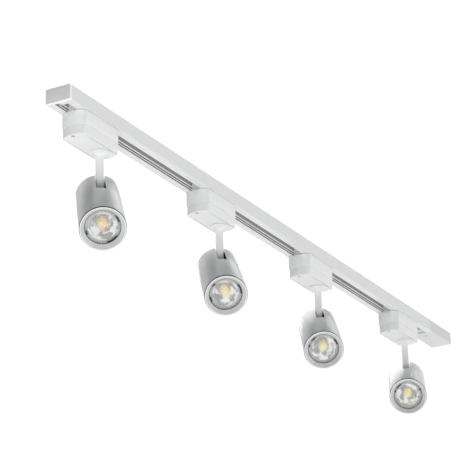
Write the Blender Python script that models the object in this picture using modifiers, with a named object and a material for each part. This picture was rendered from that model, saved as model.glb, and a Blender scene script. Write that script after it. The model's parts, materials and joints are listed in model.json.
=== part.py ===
"""Track lighting fixture: a surface rail with two conductors that carries four spot heads.

The rail runs along X and +Z is up. The origin is the middle of the rail's top face, which lies
against the ceiling, and -Y is the front. Each spot is an adapter box that slides under the rail,
a swivel arm that turns about a vertical axis, and a round head that tilts on the arm's lower end.
"""

import math

import bmesh
import bpy

# Driving dimensions, in metres and degrees.
GAP = 0.0003  # between pieces that touch
HEAD_FACETS = 28  # round the head and its bezel
LENS_FACETS = 20
ARM_FACETS = 16
SMALL_FACETS = 10  # round a screw or a small hole

RAIL_LENGTH = 1.000
RAIL_WIDTH = 0.034
RAIL_HEIGHT = 0.019
RAIL_WALL = 0.0014
RAIL_CORNER = 0.0008
SLOT_WIDTH = 0.015
LIP_RIM = 0.0012  # thickness of the rim turned up along each lip
LIP_RIM_HEIGHT = 0.0019
FIXING_HOLE = 0.0045
FIXING_PLACE = 0.300  # from the rail's middle

INSULATOR_BASE = 0.0016
INSULATOR_BACK = 0.0012  # wall behind a conductor
LUG_REACH = 0.0019  # how far a lock lug reaches past the slot's edge
LUG_CLEARANCE = 0.0004
INSULATOR_RIB = 0.0012  # height of the rib above and below each conductor
INSULATOR_RIB_REACH = 0.0008  # how far the ribs stand in from the plain wall
CONDUCTOR_DROP = 0.01225  # from the ceiling to the middle of a conductor
CONDUCTOR_HEIGHT = 0.0022
CONDUCTOR_RECESS = 0.0008  # behind the insulator's inner face

CAP_THICKNESS = 0.0045
CAP_CORNER = 0.0016
PLUG_LENGTH = 0.012  # of the tongues that locate the cap and the live end in the rail
LIVE_END_LENGTH = 0.0755
LIVE_END_WALL = 0.0018
CABLE_INLET = 0.008
LIVE_SCREW_PLACE = 0.0155  # from the live end's seam
TERMINAL_LENGTH = 0.030
TERMINAL_WIDTH = 0.018
TERMINAL_HEIGHT = 0.009

SCREW_SHANK = 0.0026
SCREW_HEAD = 0.0046
SCREW_HEAD_HEIGHT = 0.0012
SCREW_LENGTH = 0.010
SCREW_SLOT = 0.0009
BOSS = 0.0064

ADAPTER_LENGTH = 0.0825  # between the tips of its two curved ends
ADAPTER_WIDTH = 0.034
ADAPTER_BULGE = 0.0072  # how far each end curves out past its corners
ADAPTER_CORNER = 0.0025
ADAPTER_WALL = 0.0018
HOUSING_HEIGHT = 0.018
COVER_HEIGHT = 0.013
COVER_STEP = 0.0008  # the cover is this much smaller all round
COVER_RIM = 0.0012
COVER_RIM_HEIGHT = 0.0018
COVER_SCREW_INSET = 0.0048  # from the tip of the left end
TONGUE_INSET = 0.00525  # from the tip of each end of the adapter
TONGUE_HEIGHT = 0.0138
TONGUE_WALL = 0.0015
TONGUE_EDGE = 0.0005

TURRET_DIAMETER = 0.0134
TURRET_SHAFT = 0.009
LUG_WIDTH = 0.008
LUG_HEIGHT = 0.002
LEVER_LENGTH = 0.027
LEVER_WIDTH = 0.005
LEVER_HEIGHT = 0.0018
LEVER_TURN = 90.0
LEVER_SPARE = 12.0  # degrees the lever's slot is longer than its sweep at each end
LEVER_CLEARANCE = 0.0014  # under the housing's roof
BLADE_WIDTH = 0.0030
BLADE_HEIGHT = 0.0010
BLADE_SEAT = 0.0050  # where a blade's inner end sits, from the turret's axis
BLADE_PLAY = 0.0004  # between a blade's tip and its conductor

BOARD_LENGTH = 0.040
BOARD_WIDTH = 0.022
BOARD_HEIGHT = 0.0016
BOARD_INSET = 0.00925  # from the tip of the adapter's left end
BOARD_RIB_HEIGHT = 0.006
TRANSFORMER = 0.014
CAPACITOR_DIAMETER = 0.010
CAPACITOR_LENGTH = 0.012

ARM_PLACE = 0.0195  # the swivel's axis, from the adapter's middle
ARM_LENGTH = 0.0667  # from the adapter's underside to the tilt pin
ARM_WIDTH = 0.0095  # along the tilt pin
ARM_DEPTH = 0.0078
ARM_EDGE = 0.0012
FLARE_RADIUS = 0.0125
FLARE_HEIGHT = 0.011
FLARE_EDGE = 0.0008
FLARE_RINGS = 5
SPIGOT_DIAMETER = 0.0114
SPIGOT_RIM = 0.0150
SPIGOT_RIM_HEIGHT = 0.0012
EYE_RADIUS = 0.0047
WIRE_BORE = 0.0040
WIRE_EXIT = 0.014  # above the tilt pin

HEAD_DIAMETER = 0.0540
HEAD_WALL = 0.002
HEAD_BEHIND = 0.028  # from the tilt pin to the rear face
HEAD_AHEAD = 0.0661  # from the tilt pin to the seam of the bezel
HEAD_EDGE = 0.0006
HEAD_WEB_PLACE = 0.033  # from the tilt pin to the rear of the plate that carries the lamp
HEAD_WEB = 0.005
HEAD_SLOT_WIDTH = 0.0116
HEAD_SLOT_LENGTH = 0.039
PIN_DIAMETER = 0.004
PIN_BOSS = 0.010
PIN_WASHER_GAP = 0.0004  # between the arm and each boss
LEAD_HOLE = 0.003
LEAD_PLACE = 0.014

BEZEL_OVERHANG = 0.0003  # how far the bezel stands out past the head
BEZEL_LENGTH = 0.0016
BEZEL_FACE = 0.0024
BEZEL_EDGE = 0.0008
BEZEL_DEPTH = 0.0055  # of the funnel down to the lens
BEZEL_LEDGE = 0.0023  # how far the bezel reaches in over the lens
BEZEL_SPIGOT = 0.0013
BEZEL_SPIGOT_LENGTH = 0.006

LENS_PLAY = 0.0005  # between the lens and the bezel's spigot
LENS_FLANGE_HEIGHT = 0.0019
LENS_FLANGE = 0.0040  # how far the flange stands out past the lens's body
LENS_FOOT = 0.0085
LENS_HEIGHT = 0.0190
LENS_WELL = 0.0062
LENS_WELL_DEPTH = 0.0080
LENS_RINGS = 4
LED_BOARD = 0.020
LED_BOARD_HEIGHT = 0.0012
LED_SPOT = 0.0055
LED_SPOT_HEIGHT = 0.0007

# Each spot: its place along the rail as a share of the rail's length, then how far its head is
# turned from the rail's left-hand direction towards the front, and raised from hanging down.
SPOTS = (
    (0.0635, 37.5, 45.0),
    (0.3455, 37.0, 48.0),
    (0.6240, 31.5, 51.5),
    (0.9135, 24.5, 57.0),
)

# Worked out from the driving dimensions.
RAIL_BOTTOM = -RAIL_HEIGHT
CHANNEL_HALF = RAIL_WIDTH / 2 - RAIL_WALL
INSULATOR_HALF = CHANNEL_HALF - GAP
INSULATOR_FACE = SLOT_WIDTH / 2 + LUG_REACH + LUG_CLEARANCE
INSULATOR_PLAIN = INSULATOR_FACE + INSULATOR_RIB_REACH
INSULATOR_TOP = -RAIL_WALL - GAP
INSULATOR_FOOT = RAIL_BOTTOM + RAIL_WALL + GAP
CONDUCTOR_FACE = INSULATOR_FACE + CONDUCTOR_RECESS
CONDUCTOR_BACK = INSULATOR_HALF - INSULATOR_BACK - GAP
ADAPTER_TOP = RAIL_BOTTOM - GAP
HOUSING_BOTTOM = ADAPTER_TOP - HOUSING_HEIGHT
ADAPTER_BOTTOM = HOUSING_BOTTOM - COVER_HEIGHT
COVER_TOP = HOUSING_BOTTOM - GAP
COVER_FLOOR = ADAPTER_BOTTOM + ADAPTER_WALL
TONGUE_END = ADAPTER_LENGTH / 2 - TONGUE_INSET
TONGUE_TOP = ADAPTER_TOP + TONGUE_HEIGHT
TONGUE_HALF = SLOT_WIDTH / 2 - GAP
LUG_RADIUS = SLOT_WIDTH / 2 + LUG_REACH
LUG_BOTTOM = RAIL_BOTTOM + LIP_RIM_HEIGHT + LUG_CLEARANCE
BLADE_TIP = CONDUCTOR_FACE - BLADE_PLAY
LEVER_TOP = ADAPTER_TOP - ADAPTER_WALL - LEVER_CLEARANCE
SCREW_X = -ADAPTER_LENGTH / 2 + COVER_SCREW_INSET
BOARD_LEFT = -ADAPTER_LENGTH / 2 + BOARD_INSET
HEAD_RADIUS = HEAD_DIAMETER / 2
BORE_RADIUS = HEAD_RADIUS - HEAD_WALL
WEB_FRONT = -HEAD_WEB_PLACE - HEAD_WEB
BEZEL_BACK = -HEAD_AHEAD - GAP
BEZEL_FRONT = BEZEL_BACK - BEZEL_LENGTH
BEZEL_RADIUS = HEAD_RADIUS + BEZEL_OVERHANG
BEZEL_BORE = BORE_RADIUS - GAP - BEZEL_SPIGOT
LENS_RADIUS = BEZEL_BORE - LENS_PLAY
LENS_BODY = LENS_RADIUS - LENS_FLANGE
LENS_FRONT = BEZEL_FRONT + BEZEL_DEPTH + GAP
LED_BACK = WEB_FRONT - GAP


# ---------------------------------------------------------------- scene and materials

for old in list(bpy.data.objects):
    bpy.data.objects.remove(old, do_unlink=True)

fixture = bpy.data.collections.new("track_lighting_fixture")
cutters = bpy.data.collections.new("cutters")
cutters.hide_render = True
bpy.context.scene.collection.children.link(fixture)
bpy.context.scene.collection.children.link(cutters)


def material(name, colour, roughness, metallic=0.0):
    made = bpy.data.materials.new(name)
    made.use_nodes = True
    shader = made.node_tree.nodes["Principled BSDF"]
    shader.inputs["Base Color"].default_value = (*colour, 1.0)
    shader.inputs["Roughness"].default_value = roughness
    shader.inputs["Metallic"].default_value = metallic
    return made


white_coat = material("white_powder_coat", (0.80, 0.81, 0.80), 0.42)
white_plastic = material("white_plastic", (0.82, 0.83, 0.81), 0.38)
grey_plastic = material("grey_insulator", (0.62, 0.62, 0.61), 0.55)
black_plastic = material("black_plastic", (0.03, 0.03, 0.03), 0.45)
copper = material("copper", (0.68, 0.65, 0.62), 0.35, 1.0)
steel = material("zinc_plated_steel", (0.62, 0.62, 0.60), 0.35, 1.0)
circuit_board = material("circuit_board", (0.03, 0.20, 0.09), 0.50)
clear_plastic = material("clear_lens", (0.90, 0.91, 0.92), 0.08)
phosphor = material("led_module", (0.95, 0.55, 0.12), 0.40)


# ---------------------------------------------------------------- modelling helpers

def place(obj, finish, parent, location=(0, 0, 0), rotation=(0, 0, 0)):
    """Puts an object in the fixture, or among the cutters when it has no finish."""
    (fixture if finish else cutters).objects.link(obj)
    obj.parent = parent
    obj.location = location
    obj.rotation_euler = rotation
    if finish:
        obj.data.materials.append(finish)
    else:
        obj.hide_render = True
        obj.display_type = "WIRE"
    return obj


def empty(name, parent=None, location=(0, 0, 0), rotation=(0, 0, 0)):
    made = bpy.data.objects.new(name, None)
    fixture.objects.link(made)
    made.parent = parent
    made.location = location
    made.rotation_euler = rotation
    return made


def object_from(build, name):
    mesh = bpy.data.meshes.new(name)
    build.to_mesh(mesh)
    build.free()
    return bpy.data.objects.new(name, mesh)


def box(name, low, high, finish=None, parent=None, edge=0.0):
    """A block between two corners, with its edges rounded when edge is given."""
    build = bmesh.new()
    bmesh.ops.create_cube(build, size=1.0)
    for vert in build.verts:
        vert.co = [a + (b - a) * (c + 0.5) for a, b, c in zip(low, high, vert.co)]
    if edge:
        bmesh.ops.bevel(
            build, geom=build.edges[:], affect="EDGES", offset=edge, segments=1, profile=0.5, material=-1
        )
    return place(object_from(build, name), finish, parent)


def cylinder(name, radius, low, high, centre=(0, 0), segments=16, axis="Z", finish=None, parent=None):
    """A round bar along an axis, from low to high, with its centre in the other two directions."""
    build = bmesh.new()
    bmesh.ops.create_cone(
        build, cap_ends=True, segments=segments, radius1=radius, radius2=radius, depth=high - low
    )
    turn = {"X": (0, math.pi / 2, 0), "Y": (math.pi / 2, 0, 0), "Z": (0, 0, 0)}[axis]
    middle = (low + high) / 2
    spot = {
        "X": (middle, centre[0], centre[1]),
        "Y": (centre[0], middle, centre[1]),
        "Z": (centre[0], centre[1], middle),
    }[axis]
    return place(object_from(build, name), finish, parent, spot, turn)


def plate(name, outlines, low, high, finish=None, parent=None, rotation=(0, 0, 0)):
    """A flat outline, with any further outlines as holes, between two heights along its local Z."""
    curve = bpy.data.curves.new(name, "CURVE")
    curve.dimensions = "2D"
    curve.fill_mode = "BOTH"
    curve.extrude = (high - low) / 2
    for outline in outlines:
        spline = curve.splines.new("POLY")
        spline.points.add(len(outline) - 1)
        for point, (x, y) in zip(spline.points, outline):
            point.co = (x, y, 0, 1)
        spline.use_cyclic_u = True
    guide = bpy.data.objects.new(name + "_outline", curve)
    cutters.objects.link(guide)
    graph = bpy.context.evaluated_depsgraph_get()
    mesh = bpy.data.meshes.new_from_object(guide.evaluated_get(graph))
    bpy.data.objects.remove(guide)
    build = bmesh.new()
    build.from_mesh(mesh)
    bmesh.ops.remove_doubles(build, verts=build.verts, dist=1e-6)
    bmesh.ops.translate(build, verts=build.verts, vec=(0, 0, (low + high) / 2))
    build.to_mesh(mesh)
    build.free()
    mesh.name = name
    return place(bpy.data.objects.new(name, mesh), finish, parent, rotation=rotation)


def turned(name, profile, segments, finish=None, parent=None, closed=False):
    """A profile of (radius, height) points, turned about the local Z axis."""
    mesh = bpy.data.meshes.new(name)
    last = len(profile)
    edges = [(i, (i + 1) % last) for i in range(last if closed else last - 1)]
    mesh.from_pydata([(radius, 0, height) for radius, height in profile], edges, [])
    obj = place(bpy.data.objects.new(name, mesh), finish, parent)
    screw = obj.modifiers.new("turn", "SCREW")
    screw.axis = "Z"
    screw.steps = screw.render_steps = segments
    screw.use_merge_vertices = True
    screw.merge_threshold = 1e-6
    screw.use_smooth_shade = True
    return obj


def cut(target, *tools):
    for tool in tools:
        modifier = target.modifiers.new("cut", "BOOLEAN")
        modifier.operation = "DIFFERENCE"
        modifier.object = tool


def join(target, *tools):
    for tool in tools:
        modifier = target.modifiers.new("join", "BOOLEAN")
        modifier.operation = "UNION"
        modifier.object = tool


def arc(centre, radius, start, end, steps):
    """Points along an arc, with its angles in degrees."""
    angles = [math.radians(start + (end - start) * i / steps) for i in range(steps + 1)]
    return [(centre[0] + radius * math.cos(a), centre[1] + radius * math.sin(a)) for a in angles]


def rounded(corners, steps=2):
    """An outline from (x, y, radius) corners, each of them rounded by its own radius."""
    points = []
    for i, (x, y, radius) in enumerate(corners):
        if not radius:
            points.append((x, y))
            continue
        before, after = corners[i - 1], corners[(i + 1) % len(corners)]
        back = math.atan2(before[1] - y, before[0] - x)
        ahead = math.atan2(after[1] - y, after[0] - x)
        half = ((ahead - back + math.pi) % (2 * math.pi) - math.pi) / 2
        reach = radius / math.sin(abs(half))
        centre = (x + reach * math.cos(back + half), y + reach * math.sin(back + half))
        sweep = (math.pi / 2 - abs(half)) * math.copysign(1, half)
        middle = math.degrees(back + half) + 180
        points += arc(centre, radius, middle + math.degrees(sweep), middle - math.degrees(sweep), steps)
    return points


def rectangle(width, height, radius=0.0, centre=(0, 0)):
    x, y = width / 2, height / 2
    signs = ((1, 1), (-1, 1), (-1, -1), (1, -1))
    return rounded([(centre[0] + sx * x, centre[1] + sy * y, radius) for sx, sy in signs])


def barrel(inset=0.0):
    """The adapter's plan, seen from above: straight long sides and two curved ends."""
    half = ADAPTER_WIDTH / 2
    radius = (half**2 + ADAPTER_BULGE**2) / (2 * ADAPTER_BULGE)
    centre = ADAPTER_LENGTH / 2 - radius
    spread = math.degrees(math.asin((half - inset) / (radius - inset)))
    end = arc((centre, 0), radius - inset, -spread, spread, 6)
    corner = max(ADAPTER_CORNER - inset, GAP)
    shaped = [(x, y, corner if i in (0, len(end) - 1) else 0) for i, (x, y) in enumerate(end)]
    return rounded(shaped + [(-x, -y, radius) for x, y, radius in shaped])


def screw(name, x, head_face, parent=None):
    """A screw driven upwards, with a slotted head whose outer face is at the height head_face."""
    head_top = head_face + SCREW_HEAD_HEIGHT
    body = cylinder(
        name, SCREW_HEAD / 2, head_face, head_top, (x, 0), SMALL_FACETS, finish=steel, parent=parent
    )
    shank = cylinder(
        name + "_shank",
        SCREW_SHANK / 2,
        head_top - GAP,
        head_face + SCREW_LENGTH,
        (x, 0),
        SMALL_FACETS,
        parent=parent,
    )
    groove = box(
        name + "_groove",
        (x - SCREW_HEAD, -SCREW_SLOT / 2, head_face - GAP),
        (x + SCREW_HEAD, SCREW_SLOT / 2, head_face + SCREW_HEAD_HEIGHT / 2),
        parent=parent,
    )
    join(body, shank)
    cut(body, groove)
    return body


def screw_seat(name, x, face, depth, parent=None):
    """The cutters for a screw's countersink and for the clearance hole above it."""
    recess = cylinder(
        name + "_recess",
        SCREW_HEAD / 2 + GAP,
        face - GAP,
        face + SCREW_HEAD_HEIGHT + GAP,
        (x, 0),
        SMALL_FACETS,
        parent=parent,
    )
    hole = cylinder(
        name + "_hole", SCREW_SHANK / 2 + GAP, face, face + depth, (x, 0), SMALL_FACETS, parent=parent
    )
    return recess, hole


# ---------------------------------------------------------------- rail

ALONG = (math.pi / 2, 0, math.pi / 2)  # turns an outline drawn in Y and Z to run along X


def lengthwise(name, outlines, start, end, finish=None):
    """A constant section, drawn in Y and Z, from one place along the rail to another."""
    return plate(name, outlines, start, end, finish, rotation=ALONG)


rail_left, rail_right = -RAIL_LENGTH / 2, RAIL_LENGTH / 2
rail_outside = rounded(
    [
        (-RAIL_WIDTH / 2, 0, RAIL_CORNER),
        (-RAIL_WIDTH / 2, RAIL_BOTTOM, RAIL_CORNER),
        (-SLOT_WIDTH / 2, RAIL_BOTTOM, 0),
        (-SLOT_WIDTH / 2, RAIL_BOTTOM + LIP_RIM_HEIGHT, 0),
        (-SLOT_WIDTH / 2 - LIP_RIM, RAIL_BOTTOM + LIP_RIM_HEIGHT, 0),
        (-SLOT_WIDTH / 2 - LIP_RIM, RAIL_BOTTOM + RAIL_WALL, 0),
        (-CHANNEL_HALF, RAIL_BOTTOM + RAIL_WALL, 0),
        (-CHANNEL_HALF, -RAIL_WALL, 0),
        (CHANNEL_HALF, -RAIL_WALL, 0),
        (CHANNEL_HALF, RAIL_BOTTOM + RAIL_WALL, 0),
        (SLOT_WIDTH / 2 + LIP_RIM, RAIL_BOTTOM + RAIL_WALL, 0),
        (SLOT_WIDTH / 2 + LIP_RIM, RAIL_BOTTOM + LIP_RIM_HEIGHT, 0),
        (SLOT_WIDTH / 2, RAIL_BOTTOM + LIP_RIM_HEIGHT, 0),
        (SLOT_WIDTH / 2, RAIL_BOTTOM, 0),
        (RAIL_WIDTH / 2, RAIL_BOTTOM, RAIL_CORNER),
        (RAIL_WIDTH / 2, 0, RAIL_CORNER),
    ],
)
rail = lengthwise("rail_body", [rail_outside], rail_left, rail_right, white_coat)

conductor_low = -CONDUCTOR_DROP - CONDUCTOR_HEIGHT / 2
conductor_high = -CONDUCTOR_DROP + CONDUCTOR_HEIGHT / 2
rib_foot = conductor_low - GAP - INSULATOR_RIB
rib_top = conductor_high + GAP + INSULATOR_RIB
insulator_half = [
    (-INSULATOR_HALF, INSULATOR_TOP),
    (-INSULATOR_HALF, INSULATOR_FOOT),
    (-INSULATOR_PLAIN, INSULATOR_FOOT),
    (-INSULATOR_PLAIN, rib_foot),
    (-INSULATOR_FACE, rib_foot),
    (-INSULATOR_FACE, conductor_low - GAP),
    (-CONDUCTOR_BACK - GAP, conductor_low - GAP),
    (-CONDUCTOR_BACK - GAP, conductor_high + GAP),
    (-INSULATOR_FACE, conductor_high + GAP),
    (-INSULATOR_FACE, rib_top),
    (-INSULATOR_PLAIN, rib_top),
    (-INSULATOR_PLAIN, INSULATOR_TOP - INSULATOR_BASE),
]
insulator_section = insulator_half + [(-y, z) for y, z in reversed(insulator_half)]
insulator = lengthwise("rail_insulator", [insulator_section], rail_left + GAP, rail_right - GAP, grey_plastic)

for side, name in ((-1, "conductor_front"), (1, "conductor_rear")):
    middle = side * (CONDUCTOR_FACE + CONDUCTOR_BACK) / 2
    section = rectangle(CONDUCTOR_BACK - CONDUCTOR_FACE, CONDUCTOR_HEIGHT, centre=(middle, -CONDUCTOR_DROP))
    lengthwise(name, [section], rail_left + GAP, rail_right - GAP, copper)

for side in (-1, 1):
    fixing = cylinder(
        "ceiling_screw_hole", FIXING_HOLE / 2, RAIL_BOTTOM / 2, GAP, (side * FIXING_PLACE, 0), SMALL_FACETS
    )
    cut(rail, fixing)
    cut(insulator, fixing)


# ---------------------------------------------------------------- end cap and live end

def end_piece(name, start, end):
    """The outside of a cap or live end: flush with the rail, with softly rounded corners."""
    section = rectangle(RAIL_WIDTH, RAIL_HEIGHT, CAP_CORNER, (0, -RAIL_HEIGHT / 2))
    return lengthwise(name, [section], start, end, white_plastic)


def plug_section():
    """The tongue of an end piece, clear of the insulator all round."""
    half = INSULATOR_FACE - GAP
    top = INSULATOR_TOP - INSULATOR_BASE - GAP
    foot = RAIL_BOTTOM + LIP_RIM_HEIGHT + GAP
    return [(-half, top), (-half, foot), (half, foot), (half, top)]


cap_right = rail_left - GAP
cap = end_piece("end_cap", cap_right - CAP_THICKNESS, cap_right)
join(cap, lengthwise("end_cap_tongue", [plug_section()], cap_right - GAP, rail_left + PLUG_LENGTH))

live_left = rail_right + GAP
live_right = live_left + LIVE_END_LENGTH
live_floor = RAIL_BOTTOM + LIVE_END_WALL
live_end = end_piece("live_end_housing", live_left, live_right)
live_hollow = box(
    "live_end_hollow",
    (live_left + LIVE_END_WALL, -RAIL_WIDTH / 2 + LIVE_END_WALL, live_floor),
    (live_right - LIVE_END_WALL, RAIL_WIDTH / 2 - LIVE_END_WALL, RAIL_HEIGHT),
)
live_tongue = lengthwise("live_end_tongue", [plug_section()], rail_right - PLUG_LENGTH, live_left + GAP)
inlet_start = live_right - 2 * LIVE_END_WALL
inlet = cylinder(
    "cable_inlet", CABLE_INLET / 2, inlet_start, live_right + GAP, (0, -RAIL_HEIGHT / 2), axis="X"
)
live_screw_x = live_left + LIVE_SCREW_PLACE
cut(live_end, live_hollow)
join(live_end, live_tongue)
cut(live_end, inlet, *screw_seat("live_end", live_screw_x, RAIL_BOTTOM, LIVE_END_WALL + GAP))
screw("live_end_screw", live_screw_x, RAIL_BOTTOM)

terminal_low = live_floor + GAP
terminal = box(
    "terminal_block",
    (live_screw_x - TERMINAL_LENGTH / 3, -TERMINAL_WIDTH / 2, terminal_low),
    (live_screw_x + 2 * TERMINAL_LENGTH / 3, TERMINAL_WIDTH / 2, terminal_low + TERMINAL_HEIGHT),
    black_plastic,
)
terminal_hole = cylinder(
    "terminal_screw_hole",
    SCREW_SHANK / 2 + GAP,
    terminal_low - GAP,
    terminal_low + SCREW_LENGTH,
    (live_screw_x, 0),
    SMALL_FACETS,
)
cut(terminal, terminal_hole)
for side in (-1, 1):
    wire_way = cylinder(
        "terminal_wire_hole",
        WIRE_BORE / 2,
        live_screw_x + TERMINAL_LENGTH / 3,
        live_screw_x + TERMINAL_LENGTH,
        (side * TERMINAL_WIDTH / 4, terminal_low + TERMINAL_HEIGHT / 2),
        SMALL_FACETS,
        axis="X",
    )
    cut(terminal, wire_way)


# ---------------------------------------------------------------- adapter of one spot

def adapter_housing(prefix, parent):
    """The upper shell, with the hollow tongue that runs in the rail's slot."""
    shell = plate(
        prefix + "adapter_housing", [barrel()], HOUSING_BOTTOM, ADAPTER_TOP, white_plastic, parent
    )
    hollow = plate(
        prefix + "housing_hollow",
        [barrel(ADAPTER_WALL)],
        HOUSING_BOTTOM - GAP,
        ADAPTER_TOP - ADAPTER_WALL,
        parent=parent,
    )
    cut(shell, hollow)
    inner = LUG_RADIUS + LUG_WIDTH / 4
    for side in (-1, 1):
        ends = sorted((side * inner, side * TONGUE_END))
        block = box(
            prefix + "tongue",
            (ends[0], -TONGUE_HALF, ADAPTER_TOP - ADAPTER_WALL / 2),
            (ends[1], TONGUE_HALF, TONGUE_TOP),
            parent=parent,
            edge=TONGUE_EDGE,
        )
        pocket = box(
            prefix + "tongue_pocket",
            (ends[0] + TONGUE_WALL, TONGUE_WALL - TONGUE_HALF, ADAPTER_TOP - 2 * ADAPTER_WALL),
            (ends[1] - TONGUE_WALL, TONGUE_HALF - TONGUE_WALL, TONGUE_TOP - TONGUE_WALL),
            parent=parent,
        )
        join(shell, block)
        cut(shell, pocket)
    shaft_hole = cylinder(
        prefix + "turret_hole",
        TURRET_SHAFT / 2 + GAP,
        ADAPTER_TOP - 2 * ADAPTER_WALL,
        ADAPTER_TOP + GAP,
        parent=parent,
    )
    boss_foot = COVER_FLOOR + GAP
    boss = cylinder(
        prefix + "screw_boss",
        BOSS / 2,
        boss_foot,
        ADAPTER_TOP - ADAPTER_WALL / 2,
        (SCREW_X, 0),
        SMALL_FACETS,
        parent=parent,
    )
    bore = cylinder(
        prefix + "boss_bore",
        SCREW_SHANK / 2 + GAP,
        boss_foot - GAP,
        ADAPTER_BOTTOM + SCREW_LENGTH + 2 * GAP,
        (SCREW_X, 0),
        SMALL_FACETS,
        parent=parent,
    )
    join(shell, boss)
    cut(shell, shaft_hole, bore, lever_way(prefix, parent))
    return shell


def lever_way(prefix, parent):
    """The slot in the rear wall that the lock lever sweeps through."""
    spread = LEVER_TURN / 2 + LEVER_SPARE
    outline = arc((0, 0), LEVER_LENGTH + ADAPTER_WALL, 90 - spread, 90 + spread, 8)
    outline += arc((0, 0), TURRET_SHAFT / 2, 90 + spread, 90 - spread, 4)
    clear = 2 * GAP
    return plate(
        prefix + "lever_way", [outline], LEVER_TOP - LEVER_HEIGHT - clear, LEVER_TOP + clear, parent=parent
    )


def adapter_cover(prefix, parent):
    """The lower shell: a step smaller, with a rim that sits inside the housing."""
    cover = plate(
        prefix + "adapter_cover", [barrel(COVER_STEP)], ADAPTER_BOTTOM, COVER_TOP, white_plastic, parent
    )
    rim_out = ADAPTER_WALL + GAP
    rim_in = rim_out + COVER_RIM
    rim = plate(
        prefix + "cover_rim", [barrel(rim_out)], COVER_TOP - GAP, COVER_TOP + COVER_RIM_HEIGHT, parent=parent
    )
    join(cover, rim)
    hollow_top = COVER_TOP + 2 * COVER_RIM_HEIGHT
    hollow = plate(prefix + "cover_hollow", [barrel(rim_in)], COVER_FLOOR, hollow_top, parent=parent)
    cut(cover, hollow)
    for place_x in (BOARD_LEFT + BOARD_LENGTH / 4, BOARD_LEFT + 3 * BOARD_LENGTH / 4):
        rib = box(
            prefix + "board_rib",
            (place_x - ADAPTER_WALL / 2, -BOARD_WIDTH / 2, COVER_FLOOR - GAP),
            (place_x + ADAPTER_WALL / 2, BOARD_WIDTH / 2, COVER_FLOOR + BOARD_RIB_HEIGHT),
            parent=parent,
        )
        join(cover, rib)
    pocket = cylinder(
        prefix + "boss_pocket",
        BOSS / 2 + GAP,
        COVER_FLOOR,
        hollow_top,
        (SCREW_X, 0),
        SMALL_FACETS,
        parent=parent,
    )
    spigot_hole = cylinder(
        prefix + "spigot_hole",
        SPIGOT_DIAMETER / 2 + GAP,
        ADAPTER_BOTTOM - GAP,
        COVER_FLOOR + GAP,
        (ARM_PLACE, 0),
        parent=parent,
    )
    seat = screw_seat(prefix + "cover", SCREW_X, ADAPTER_BOTTOM, ADAPTER_WALL + GAP, parent)
    cut(cover, pocket, spigot_hole, *seat)
    return cover


def driver_board(prefix, parent):
    """The driver: a circuit board on the cover's ribs, with a transformer and a capacitor."""
    low = COVER_FLOOR + BOARD_RIB_HEIGHT + GAP
    top = low + BOARD_HEIGHT
    left = BOARD_LEFT
    board = box(
        prefix + "driver_board",
        (left, -BOARD_WIDTH / 2, low),
        (left + BOARD_LENGTH, BOARD_WIDTH / 2, top),
        circuit_board,
        parent,
    )
    transformer = box(
        prefix + "transformer",
        (left + BOARD_LENGTH / 10, -TRANSFORMER / 2, top - GAP),
        (left + BOARD_LENGTH / 10 + TRANSFORMER, TRANSFORMER / 2, top + TRANSFORMER * 2 / 3),
        parent=parent,
    )
    capacitor = cylinder(
        prefix + "capacitor",
        CAPACITOR_DIAMETER / 2,
        left + BOARD_LENGTH - CAPACITOR_LENGTH - 2 * ADAPTER_WALL,
        left + BOARD_LENGTH - 2 * ADAPTER_WALL,
        (0, top + CAPACITOR_DIAMETER / 2 - 2 * GAP),
        SMALL_FACETS,
        axis="X",
        parent=parent,
    )
    join(board, transformer, capacitor)
    return board


def lock_turret(prefix, parent):
    """The turning lock: its lugs sit on the rail's lips, and its lever reaches out at the rear."""
    foot = LEVER_TOP - LEVER_HEIGHT
    turret = cylinder(
        prefix + "lock_turret",
        TURRET_DIAMETER / 2,
        ADAPTER_TOP + GAP,
        TONGUE_TOP,
        finish=black_plastic,
        parent=parent,
    )
    shaft = cylinder(prefix + "turret_shaft", TURRET_SHAFT / 2, foot, ADAPTER_TOP + 2 * GAP, parent=parent)
    side = math.sqrt(LUG_RADIUS**2 - LUG_WIDTH**2 / 4)
    spread = math.degrees(math.asin(LUG_WIDTH / 2 / LUG_RADIUS))
    lug_outline = arc((0, 0), LUG_RADIUS, 90 - spread, 90 + spread, 4)
    lug_outline += arc((0, 0), LUG_RADIUS, 270 - spread, 270 + spread, 4)
    lugs = plate(prefix + "lugs", [lug_outline], LUG_BOTTOM, LUG_BOTTOM + LUG_HEIGHT, parent=parent)
    lever_outline = rounded(
        [
            (0, -LEVER_WIDTH / 2, 0),
            (LEVER_LENGTH, -LEVER_WIDTH / 2, LEVER_WIDTH / 2.2),
            (LEVER_LENGTH, LEVER_WIDTH / 2, LEVER_WIDTH / 2.2),
            (0, LEVER_WIDTH / 2, 0),
        ]
    )
    turn = (0, 0, math.radians(90 - LEVER_TURN / 2))
    lever = plate(prefix + "lever", [lever_outline], foot, LEVER_TOP, parent=parent, rotation=turn)
    join(turret, shaft, lugs, lever)
    seat_half = BLADE_WIDTH / 2 + GAP
    for direction in (-1, 1):
        ends = sorted((direction * (BLADE_SEAT - GAP), direction * 2 * side))
        seat = box(
            prefix + "blade_seat",
            (-seat_half, ends[0], -CONDUCTOR_DROP - BLADE_HEIGHT / 2 - GAP),
            (seat_half, ends[1], -CONDUCTOR_DROP + BLADE_HEIGHT / 2 + GAP),
            parent=parent,
        )
        cut(turret, seat)
    return turret


def contact_blade(prefix, name, direction, parent):
    """One of the two copper blades that the turret presses against a conductor."""
    ends = sorted((direction * BLADE_SEAT, direction * BLADE_TIP))
    return box(
        prefix + name,
        (-BLADE_WIDTH / 2, ends[0], -CONDUCTOR_DROP - BLADE_HEIGHT / 2),
        (BLADE_WIDTH / 2, ends[1], -CONDUCTOR_DROP + BLADE_HEIGHT / 2),
        copper,
        parent,
    )


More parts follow.
